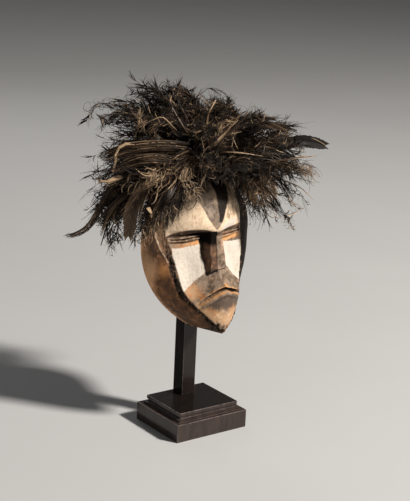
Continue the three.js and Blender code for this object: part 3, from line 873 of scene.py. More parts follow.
def black_paint_and_shade_zone(x, v):
    """Black in the mouth, under the brow, round the root of the nose and in the slits of the eyes: partly
    black paint, partly painted shade where shade falls in these slits, creases and undersides.
    """
    side = np.abs(x)
    thickness = 0.35 + 1.6 * hill(x, 12, 34)
    mouth = thickness - np.abs(v - mouth_line(x)) - 3 * smoothstep(-x, 21, 28)
    brow_width = 0.4 + 2.8 * smoothstep(-side, -46, -10) * (x < 0)
    brow = np.minimum(brow_width - np.abs(v - 278.2), 54 - side)
    root = np.minimum.reduce([x - umber_and_shadow_edge(v), -1.5 - x, (v - 263) * 0.22, 281 - v])
    at_eye = v - eye_lift(x)
    slit = np.minimum(0.3 + 0.5 * smoothstep(side, 18, 40) - np.abs(at_eye - EYE_HEIGHT), 56 - side)
    under_lid = np.minimum(0.9 * smoothstep(side, 20, 42) - 0.15 - np.abs(at_eye - 265.4), 58 - side)
    above_lid = np.minimum(0.3 - np.abs(at_eye - 275.0), np.where(x < 0, 52 - side, -2))
    nostril_width = 1.0 + 1.3 * smoothstep(x, -14, -3)
    nostrils = np.minimum.reduce([nostril_width - np.abs(v - NOSE_BOTTOM + 0.6), x + 14.5, -x])
    return np.maximum.reduce([mouth, brow, root, slit, np.where(x < 0, under_lid, -2), above_lid, nostrils])


def paint_zones(points, v, x, columns_from_middle):
    """Distances in millimetres into each painted place, positive inside it. The height goes with them."""
    z = points[..., 2]
    side = np.abs(x)
    at_eye = v - eye_lift(x)
    in_front = columns_from_middle <= FACE_COLUMNS
    face = strip_inner(z) - side + np.where(in_front, 0.0, -6.0)
    white = [inside_distance(x, z, outline) for outline in (LEFT_CHEEK, RIGHT_CHEEK, RIGHT_FOREHEAD)]
    lids = np.minimum.reduce([at_eye - 266.2, 274.5 - at_eye, side - 11, 60 - side])
    brow = np.minimum.reduce([at_eye - 274.5, brow_line(x) + 0.5 - z, 60 - side])
    brow = np.where(x > 3, np.minimum(brow, -0.5), brow)
    brow_stripes = np.maximum(1.3 - np.abs(z - brow_line(x) + 1.5), 0.9 - np.abs(v - 274.5))
    scratch = 1.0 - line_distance(x, z, SCRATCH) - 0.024 * np.maximum(272 - z, 0)
    on_face = {
        "lids": lids,
        "brow": brow,
        "brow_stripes": np.minimum(brow_stripes, x - 8),
        "under_lip": np.minimum(mouth_line(x) - 6.5 - v, (z - 180) * 0.5),
        "streaked": np.minimum((x - 17) * 0.6, (z - 296) * 0.5),
        "low_chin": (182 - 0.1 * x - z) * 0.7,
    }
    return {
        **{name: np.minimum(place, face) for name, place in on_face.items()},
        "face": face,
        "strip": np.minimum.reduce([side - strip_inner(z), strip_outer(z) - side, 300 - z]),
        "cheek": np.maximum.reduce(white),
        "wedge": np.minimum(wedge_half_width(z) - np.abs(x + 0.5), z - 281),
        "forehead": np.minimum(z - brow_line(x), face + 1.0),
        "nose_side": np.minimum.reduce([x - umber_and_shadow_edge(v), -1.2 - x, 280 - v, v - 229]),
        "nose_patch": np.minimum.reduce([x + 12, -2.5 - x, (v - 234) * 0.5, (266 - v) * 0.5]),
        "warm": np.minimum(warm_zone(x, v, z), face + 1.5),
        "ochre": np.minimum(ochre_zone(x, v), face + 1.5),
        "ragged_chin": np.minimum((159 + 0.25 * side - z) * 0.6, face + 4),
        "feather_shadow": np.minimum.reduce([x - 3.2, 8.3 + 0.66 * (z - 294) - x, z - 292.5]),
        "sooty": 5.5 - np.hypot(x + 79.5, (z - 254) / 2.6),
        "rusty": np.maximum(5 - np.hypot(x + 68, (z - 229) / 1.6), 6 - np.hypot(x + 85, (z - 250) / 1.4)),
        "black_paint_and_shade": np.where(in_front, black_paint_and_shade_zone(x, v), -5.0),
        "rubbed": columns_from_middle - (HALF_COLUMNS - 3 - 15 * hill(z, 236, 38)),
        "shaded_side": np.minimum((x - 54) * 0.6, columns_from_middle - FACE_COLUMNS + 1),
        "scratch": np.where(x < 0, scratch, -5.0),
        "height": z,
    }


def carve_surface(points, zones, v, columns_from_middle):
    """Moves the outer skin along its normals: tool marks, pits, splinters and worn borders."""
    x = points[..., 0]
    relief = 0.45 * (cells_at(points, 9.0, 3.1, (1, 1, 0.6)) ** 2 - 0.3)
    relief += 0.12 * noise_at(points, 2.2, 5.0) + 0.3 * noise_at(points, 14.0, 9.0)
    in_strip = smoothstep(zones["strip"], -1.5, 1.5)
    pits = smoothstep(-cells_at(points, 5.5, 7.7, (1, 1, 0.45)), -0.46, -0.26)
    pits = pits * smoothstep(-points[..., 2], -268, -246)
    relief -= in_strip * (1.3 + 3.0 * pits + 0.7 * noise_at(points, 3.0, 2.0))
    relief -= in_strip * 1.1 * noise_at(points, 2.2, 13.0, (1, 1, 0.15))
    chin = smoothstep(zones["ragged_chin"], -2.5, 2.5)
    splinters = noise_at(points, 2.6, 4.0, (1, 1, 0.25))
    chin_pits = smoothstep(-cells_at(points, 5.0, 1.2, (1, 1, 0.6)), -0.42, -0.22)
    relief -= chin * (1.6 * np.maximum(splinters, -0.3) + 2.8 * chin_pits)
    relief += 0.9 * smoothstep(zones["scratch"], -1.2, 0.6)
    fine_cracks = smoothstep(noise_at(points, 1.6, 6.0, (1, 1, 0.12)), 0.35, 0.6)
    relief -= 0.35 * fine_cracks
    at_mouth = hill(v, mouth_line(x), 3.2) * smoothstep(MOUTH_HALF_WIDTH + 2 - np.abs(x), 0, 5)
    relief -= at_mouth * 1.6 * np.maximum(noise_at(points, 3.0, 8.0, (1, 0.3, 0.3)), 0)
    rim = smoothstep(columns_from_middle, HALF_COLUMNS - 8, HALF_COLUMNS)
    relief -= rim * 1.4 * smoothstep(noise_at(points, 5.0, 12.0), 0.15, 0.55)
    # The rim itself and the closed ends stay where they are.
    free = np.where(columns_from_middle >= HALF_COLUMNS, 0.0, 1.0)
    free[[0, -1]] = 0
    carved = points + surface_normals(points) * (relief * free)[..., None]
    carved[..., 1] = np.minimum(carved[..., 1], RIM_Y)
    # How far each place lies in a pit, a crack or the mouth, for the painted shade in these hollows.
    chin_hollows = chin * (chin_pits + smoothstep(splinters, 0.0, 0.4))
    cavity = np.clip(in_strip * pits + chin_hollows + 0.5 * fine_cracks + at_mouth * 0.4, 0, 1)
    return carved, cavity


def shaped_grid(points):
    """A grid whose corners lie at the points, given by row and column."""
    rows, columns = points.shape[:2]
    shape = bmesh.new()
    bmesh.ops.create_grid(shape, x_segments=columns - 1, y_segments=rows - 1, size=1)
    for vert, place in zip(shape.verts, points.reshape(-1, 3)):
        vert.co = place
    return shape


def mask_skin():
    """The carved outer skin as points, with its painted places and hollows, and the turn of each row."""
    points, turn = mask_outside_points()
    rows, columns = points.shape[:2]
    from_middle = np.broadcast_to(np.abs(np.arange(columns) - HALF_COLUMNS), (rows, columns)).astype(float)
    v = np.broadcast_to(row_heights()[:, None], (rows, columns))
    zones = paint_zones(points, v, points[..., 0], from_middle)
    carved, zones["cavity"] = carve_surface(points, zones, v, from_middle)
    return carved, zones, turn


def make_mask():
    """One sheet runs round each row: over the outer skin, across the rim and back through the hollow."""
    outer, zones, turn = mask_skin()
    inner = mask_hollow_points(turn)
    dents = 0.6 * (cells_at(inner, 11.0, 2.0, (1, 1, 0.6)) ** 2 - 0.3)
    dents[[0, -1]] = 0
    dents[:, [0, -1]] = 0
    inner = inner + surface_normals(inner) * dents[..., None]
    shift = np.array([MASK_X, 0, 0])
    sheet = np.concatenate([outer, inner[:, ::-1], outer[:, :1]], axis=1) + shift
    shape = shaped_grid(sheet)
    columns = sheet.shape[1]
    place = shape.verts.layers.int.new("place")
    for number, vert in enumerate(shape.verts):
        vert[place] = number
    for face in shape.faces:
        face.smooth = True
        first_column = min(vert[place] % columns for vert in face.verts)
        face.material_index = int(outer.shape[1] <= first_column < columns - 2)
    bmesh.ops.remove_doubles(shape, verts=shape.verts, dist=0.002)
    bmesh.ops.recalc_face_normals(shape, faces=shape.faces)
    mesh = in_metres(shape, "mask_wood")
    mesh.set_sharp_from_angle(angle=math.radians(50))
    source = np.zeros(len(mesh.vertices), np.int32)
    mesh.attributes["place"].data.foreach_get("value", source)
    mesh.attributes.remove(mesh.attributes["place"])
    far_outside = -20.0
    for name, values in zones.items():
        whole = np.full(sheet.shape[:2], far_outside)
        whole[:, :outer.shape[1]] = values
        whole[:, -1] = values[:, 0]
        set_attribute(mesh, name, whole.reshape(-1)[source])
    add_piece(mesh, "mask", [mask_paint_material(), hollow_material()])
    return outer + shift


# Headdress: strands are gathered into feathers, and feathers into one lock for each lock of the model

TEMPLATE_LENGTH = 100.0


class Strand:
    """A closed three-sided thread with rings to bend at, kept as a mesh that is copied."""

    def __init__(self, cuts):
        shape = bmesh.new()
        bmesh.ops.create_cone(shape, cap_ends=True, segments=3, radius1=1, radius2=1, depth=1)
        for cut in range(1, cuts):
            bmesh.ops.bisect_plane(shape, geom=all_parts(shape), plane_co=(0, 0, cut / cuts - 0.5),
                                   plane_no=(0, 0, 1))
        self.mesh = as_mesh(shape, "strand")
        corners = np.array([vert.co for vert in self.mesh.vertices])
        self.ring = np.rint((corners[:, 2] + 0.5) * cuts).astype(int)
        self.corner = corners[:, :2]
        self.steps = np.linspace(0, 1, cuts + 1)


BARB = Strand(2)
FIBRE = Strand(7)


class Feather:
    """Strands along the X axis, from the root at 0 to the tip at TEMPLATE_LENGTH, in millimetres."""

    def __init__(self):
        self.shape = bmesh.new()
        self.points = []
        self.tones = []
        self.alongs = []

    def add(self, strand, line, half_width, tone, taper=0.8, flatness=0.55):
        """A strand along a middle line, given as one point for each of its rings."""
        ahead = unit(np.gradient(line, axis=0))
        side = unit(np.cross(ahead, np.array([0.12, 0.2, 1.0])))
        over = np.cross(side, ahead)
        width = half_width * (1 - taper * strand.steps ** 1.6)
        ring = strand.ring
        spread = strand.corner * width[ring][:, None]
        points = line[ring] + side[ring] * spread[:, :1] + over[ring] * spread[:, 1:] * flatness
        self.shape.from_mesh(strand.mesh)
        self.points.append(points)
        self.tones.append(np.full(len(points), tone))
        self.alongs.append(strand.steps[ring])

    def add_mesh(self, mesh, tone):
        """A whole mesh as it is, which must come before any strand."""
        self.shape.from_mesh(mesh)
        points = np.array([vert.co for vert in mesh.vertices])
        self.points.append(points)
        self.tones.append(np.full(len(points), tone))
        self.alongs.append(np.zeros(len(points)))

    def finish(self):
        self.mesh = as_mesh(self.shape, "feather")
        self.points = np.concatenate(self.points)
        self.tones = np.concatenate(self.tones)
        self.alongs = np.concatenate(self.alongs)
        return self


def shaft(feather, random, tone, until=1.0, half_width=1.1):
    wave = random.uniform(-3, 3)
    x = FIBRE.steps * TEMPLATE_LENGTH * until
    line = np.stack([x, wave * np.sin(FIBRE.steps * math.pi), 0.4 * wave * FIBRE.steps ** 2], axis=-1)
    feather.add(FIBRE, line, half_width, tone, taper=0.7, flatness=0.9)
    return line


def along_line(line, places, shares):
    """Points at the shares of a line whose own points lie at the places."""
    return np.stack([np.interp(shares, places, line[:, axis]) for axis in range(3)], axis=-1)


def on_shaft(line, share):
    return along_line(line, FIBRE.steps, share)


def barb_line(root, length, angle, lean, curl, sag, wave=0.0):
    """A barb from its root on the shaft: out at an angle, curling forward along the shaft."""
    s = BARB.steps
    forward = np.cos(angle) * s + curl * s ** 2
    outward = np.sin(angle) * (s - 0.35 * curl * s ** 2) + wave * np.sin(s * 5)
    line = np.stack([forward, outward * np.cos(lean), outward * np.sin(lean)], axis=-1)
    line[:, 2] -= sag * s ** 2
    return root + line * length


def strand_tone(random, base):
    """Most strands are near black, some are brown and a few are dusty tan."""
    tone = base + random.choice([0.0, 0.28, 0.55], p=[0.66, 0.24, 0.10]) + random.uniform(-0.08, 0.08)
    return float(np.clip(tone, 0, 1))


def plume(random, barbs=48, longest=19.0, gaps=0.15, lean=0.5, angles=(26, 62), tone=0.22):
    """A shaft with barbs on both sides, which cling together in pointed clumps."""
    feather = Feather()
    line = shaft(feather, random, tone + 0.2)
    start, clump = 0.25, 4
    for side in (-1, 1):
        for group in range(barbs // (2 * clump)):
            share = start + (1 - start) * (group + random.uniform(0.1, 0.9)) * 2 * clump / barbs
            if random.uniform() < gaps:
                continue
            angle = math.radians(random.uniform(*angles))
            length = longest * random.uniform(0.55, 1.15) * math.sin(math.pi * (0.2 + 0.62 * share)) ** 0.7
            clump_lean = random.normal(0, lean) + (0 if side > 0 else math.pi)
            curl = random.uniform(-0.45, 0.45)
            sag = random.uniform(-0.35, 0.4)
            clump_tone = tone + random.choice([-0.05, 0.25], p=[0.75, 0.25])
            width = random.choice([0.45, 0.7, 1.1])
            for _ in range(clump):
                root = on_shaft(line, min(share + random.uniform(-0.03, 0.03), 1))
                barb = barb_line(root, length * random.uniform(0.7, 1.2), angle + random.normal(0, 0.1),
                                 clump_lean + random.normal(0, 0.16), curl + random.normal(0, 0.08),
                                 sag + random.normal(0, 0.08), random.normal(0, 0.06))
                feather.add(BARB, barb, width * random.uniform(0.7, 1.2), strand_tone(random, clump_tone))
    return feather.finish()


def barbs_all_round(feather, random, line, draw_degrees, count, first, reach, curl, sag, wave, widths, tone):
    """Barbs from the first share of the shaft to its tip. Reach, curl and sag are ranges to draw from."""
    for _ in range(count):
        root = on_shaft(line, random.uniform(first, 1.0))
        angle = math.radians(draw_degrees())
        barb = barb_line(root, random.uniform(*reach), angle, random.uniform(0, 2 * math.pi),
                         random.uniform(*curl), random.uniform(*sag), random.normal(0, wave))
        feather.add(BARB, barb, random.choice(widths), strand_tone(random, tone))
    return feather.finish()


def brush(random):
    """A bare shaft that ends in a burst of stiff barbs."""
    feather = Feather()
    tone = 0.3
    line = shaft(feather, random, tone, until=0.84, half_width=0.9)
    return barbs_all_round(feather, random, line, lambda: abs(random.normal(24, 16)), count=46, first=0.62,
                           reach=(12, 26), curl=(-0.4, 0.3), sag=(-0.25, 0.25), wave=0.05,
                           widths=[0.5, 0.7, 1.0], tone=tone)


def fluff(random):
    """Down and broken barbs that stand out all round a short shaft."""
    feather = Feather()
    tone = 0.24
    line = shaft(feather, random, tone, until=0.9, half_width=0.8)
    return barbs_all_round(feather, random, line, lambda: random.uniform(35, 105), count=52, first=0.3,
                           reach=(7, 18), curl=(-0.3, 0.9), sag=(-0.5, 0.6), wave=0.16,
                           widths=[0.45, 0.7, 1.1], tone=tone)


def matted_strip(random, fibres=24, half_width=7.5, tone=0.3, ends=(0.72, 1.05)):
    """Barbs stuck together into a flat band of long parallel fibres, split at its end."""
    feather = Feather()
    phase = random.uniform(0, 6)
    for _ in range(fibres):
        side = random.uniform(-1, 1) * half_width
        first = random.uniform(0, 0.3)
        last = random.uniform(*ends)
        s = first + (last - first) * FIBRE.steps
        split = random.normal(0, 3.5) * FIBRE.steps ** 4
        wave = 0.9 * np.sin(s * 9 + side + phase)
        narrow = 0.45 + 0.55 * np.sin(np.clip(s, 0, 1) * math.pi) ** 0.6
        height = random.uniform(-1.3, 1.3) + 0.9 * np.cos(s * 7 + side + phase)
        line = np.stack([s * TEMPLATE_LENGTH, side * narrow + split + wave, height + split * 0.4], axis=-1)
        feather.add(FIBRE, line, random.choice([0.6, 0.9, 1.6]), strand_tone(random, tone), taper=0.6)
    return feather.finish()


def mat(random):
    """A web of short broken fibres that lie across one another."""
    feather = Feather()
    half_width, tone = 12.0, 0.34
    for _ in range(64):
        heading = random.normal(0, 0.45)
        heading = heading + 0.5 * np.sin(FIBRE.steps * random.uniform(3, 7) + random.uniform(0, 6))
        step = random.uniform(2.2, 5.5)
        walk = np.cumsum(np.stack([np.cos(heading), np.sin(heading), 0 * heading], axis=-1) * step, axis=0)
        start = np.array([random.uniform(0, 78), random.uniform(-1, 1) * half_width, random.uniform(-2, 2)])
        walk[:, 2] += 1.2 * np.sin(walk[:, 0] / 5 + start[1])
        width = random.choice([0.4, 0.65, 1.1])
        feather.add(FIBRE, start + walk, width, strand_tone(random, tone), taper=0.5)
    return feather.finish()


def curls(random):
    """Thin broken strands that roll up at their ends."""
    feather = Feather()
    tone = 0.3
    shaft(feather, random, tone, until=0.8, half_width=0.7)
    for _ in range(26):
        sweep = random.choice([-1, 1]) * random.uniform(2.5, 5.5)
        heading = random.uniform(-0.8, 0.8) + sweep * FIBRE.steps ** 1.5
        tilt = random.uniform(0, math.pi)
        step = random.uniform(2.4, 5.0)
        aside = np.sin(heading)
        walk = np.stack([np.cos(heading), aside * math.cos(tilt), aside * math.sin(tilt)], axis=-1)
        start = np.array([random.uniform(12, 88), random.normal(0, 3), random.normal(0, 3)])
        feather.add(FIBRE, start + np.cumsum(walk * step, axis=0), random.choice([0.35, 0.5, 0.8]),
                    strand_tone(random, tone), taper=0.5)
    return feather.finish()


def bare_quill(random):
    """A shaft that has lost its barbs but for a few at its end."""
    feather = Feather()
    tone = 0.85
    line = shaft(feather, random, tone, half_width=1.3)
    for _ in range(6):
        root = on_shaft(line, random.uniform(0.6, 0.95))
        barb = barb_line(root, random.uniform(4, 8), random.uniform(0.3, 0.7), random.uniform(0, 2 * math.pi),
                         random.uniform(-0.2, 0.3), random.uniform(-0.2, 0.2))
        feather.add(BARB, barb, 0.5, tone - 0.3)
    return feather.finish()


def smooth_vane(random):
    """A whole vane: fine barbs side by side, close enough to read as one smooth sheet."""
    feather = Feather()
    line = shaft(feather, random, tone=0.6, half_width=0.8)
    tone, barbs_a_side, half_width, angle = 0.36, 39, 11.0, math.radians(38)
    for lean in (math.pi - 0.12, 0.12):
        for share in np.linspace(0.12, 0.97, barbs_a_side):
            reach = half_width * math.sin(math.pi * min(share, 0.94)) ** 0.45 * random.uniform(0.93, 1.05)
            barb = barb_line(on_shaft(line, share), reach / math.sin(angle), angle, lean, 0.12, 0.0)
            feather.add(BARB, barb, 1.35, tone + random.uniform(-0.05, 0.05), taper=0.3, flatness=0.25)
    return feather.finish()


def make_templates():
    random = np.random.default_rng(11)
    return {
        "plume": [plume(random) for _ in range(5)],
        "frayed": [plume(random, barbs=40, longest=23, gaps=0.3, lean=0.9, angles=(30, 80), tone=0.28)
                   for _ in range(4)],
        "fluff": [fluff(random) for _ in range(3)],
        "brush": [brush(random) for _ in range(3)],
        "strip": [matted_strip(random) for _ in range(3)],
        "quill": [bare_quill(random) for _ in range(2)],
        "vane": [smooth_vane(random)],
        "mat": [mat(random) for _ in range(3)],
        "curl": [curls(random) for _ in range(3)],
        "band": [matted_strip(random, fibres=70, half_width=12, tone=0.36, ends=(0.85, 1.03))],
    }


# Name, number of locks, first azimuth, elevation, length, how much longer toward LONG_AZIMUTH, droop, girth
TIERS = [
    ("fringe", 13, 8, -5, 126, 0.25, 86, 20),
    ("brim", 12, 22, 14, 130, 0.06, 53, 21),
    ("crest", 9, 2, 34, 162, 0.05, 63, 23),
    ("crown", 6, 24, 55, 135, 0.2, 48, 22),
    ("tuft", 3, 23, 72, 96, 0.21, 8, 15),
]
LONG_AZIMUTH = 143
FOREHEAD_AZIMUTH = 247
LOCK_FLATNESS = 0.62


def lock_spread(number):
    """A number from -1 to 1 that differs from lock to lock, as the model has it."""
    return math.sin(number * 2.399) * math.cos(number * 0.7)


def lock_layout():
    """The locks as the model lays them out: short over the forehead, long on the left of the photograph."""
    locks = []
    for tier, count, first, elevation, tier_length, long, tier_droop, tier_girth in TIERS:
        for i in range(count):
            seed = len(locks) + 1
            azimuth = first + 360 * i / count
            gap = abs(azimuth - FOREHEAD_AZIMUTH) % 360
            over_forehead = float(hill(min(gap, 360 - gap), 0, 72))
            low = min(max(1 - elevation / 45, 0), 1)
            longer = math.cos(math.radians(azimuth - LONG_AZIMUTH))
            short = low * over_forehead
            length = tier_length * (1 + long * longer + 0.08 * lock_spread(seed))
            droop = tier_droop * (1 + 0.06 * longer + 0.08 * lock_spread(seed + 3))
            girth = tier_girth * (1 + 0.1 * lock_spread(seed + 5))
            locks.append({
                "name": f"feather_lock_{tier}_{i + 1:02d}",
                "tier": tier,
                "seed": seed,
                "azimuth": math.radians(azimuth),
                "elevation": math.radians(elevation + 9 * short),
                "length": length * (1 - 0.64 * short),
                "droop": droop * (1 - 0.5 * over_forehead),
                "girth": girth * (1 - 0.42 * short),
            })
    return locks


def lock_frame(lock, t):
    """Middle line of a lock at shares t of its length, with the directions across and over it."""
    azimuth, elevation = lock["azimuth"], lock["elevation"]
    out = np.array([math.cos(azimuth) * math.cos(elevation), math.sin(azimuth) * math.cos(elevation),
                    math.sin(elevation)])
    t = np.asarray(t)[:, None]
    fallen = np.maximum(t, 0)
    up = np.array([0, 0, 1.0])
    centre = KNOT_CENTRE + out * (KNOT_RADIUS + lock["length"] * t) - up * lock["droop"] * fallen ** 1.9
    ahead = unit(out * lock["length"] - up * 1.9 * lock["droop"] * fallen ** 0.9)
    across = np.array([-math.sin(azimuth), math.cos(azimuth), 0.0])
    over = np.cross(across, ahead)
    return centre, np.broadcast_to(across, centre.shape), over


def rolled(feather, roll, width):
    """The feather's sideways and upward places after a turn about its shaft."""
    y, z = feather.points[:, 1] * width, feather.points[:, 2] * width
    return y * math.cos(roll) - z * math.sin(roll), y * math.sin(roll) + z * math.cos(roll)


def gathered(lock, random):
    """How one bundle of feathers in a lock lies: where it ends, how it bows and where it breaks."""
    angle = random.uniform(0, 2 * math.pi)
    out = math.sqrt(random.uniform(0.1, 1)) * lock["girth"] * 1.05
    return {
        "end": np.array([out * math.cos(angle), out * math.sin(angle) * LOCK_FLATNESS]),
        "bow": random.normal(0, 8, 2),
        "curl": random.normal(0, 9, 2),
        "kink": random.normal(0, 1, 2) * random.choice([8, 34], p=[0.6, 0.4]),
        "break_at": random.uniform(0.35, 0.8),
        "reach": random.uniform(0.7, 1.0),
        "tone": random.choice([-0.08, 0.0, 0.14], p=[0.4, 0.35, 0.25]),
    }


def bent_along(lock, bundle, feather, random, reach, width, caught=False):
    """A feather's points, laid along the lock from inside the knot out to the end of its bundle.

    A feather that is caught lies at a slant to the lock, somewhere in the mass.
    """
    y, z = rolled(feather, random.uniform(0, 2 * math.pi), width)
    if caught:
        slant = random.choice([-1, 1]) * random.uniform(0.5, 1.4)
        run = (feather.points[:, 0] / TEMPLATE_LENGTH - 0.5) * random.uniform(36, 62)
        t = random.uniform(0.25, 0.95) * reach + run * math.cos(slant) / lock["length"]
        y = y * 0.7 + run * math.sin(slant)
    else:
        root_depth = -random.uniform(0.02, 0.09)
        t = root_depth + (reach - root_depth) * feather.points[:, 0] / TEMPLATE_LENGTH
    opened = smoothstep(t, -0.1, 0.75)
    arch = np.sin(np.clip(t, 0, 1) * math.pi)
    tail = np.clip(t - 0.55, 0, 1) ** 2 / 0.2
    broken = np.clip(t - bundle["break_at"], 0, 1)
    wave = np.sin(t * random.uniform(4, 10) + random.uniform(0, 6)) * np.clip(t, 0, 1)
    end = bundle["end"] + random.normal(0, 0.17 * lock["girth"], 2)
    bow = bundle["bow"] + random.normal(0, 3, 2)
    curl = bundle["curl"] + random.normal(0, 5, 2)
    kink = bundle["kink"] + random.normal(0, 6, 2)
    sway = random.normal(0, 1.6, 2)
    aside, above = (
        end[axis] * opened + bow[axis] * arch + curl[axis] * tail + kink[axis] * broken + sway[axis] * wave
        for axis in (0, 1))
    centre, across, over = lock_frame(lock, t)
    return centre + across * (aside + y)[:, None] + over * (above + z)[:, None]


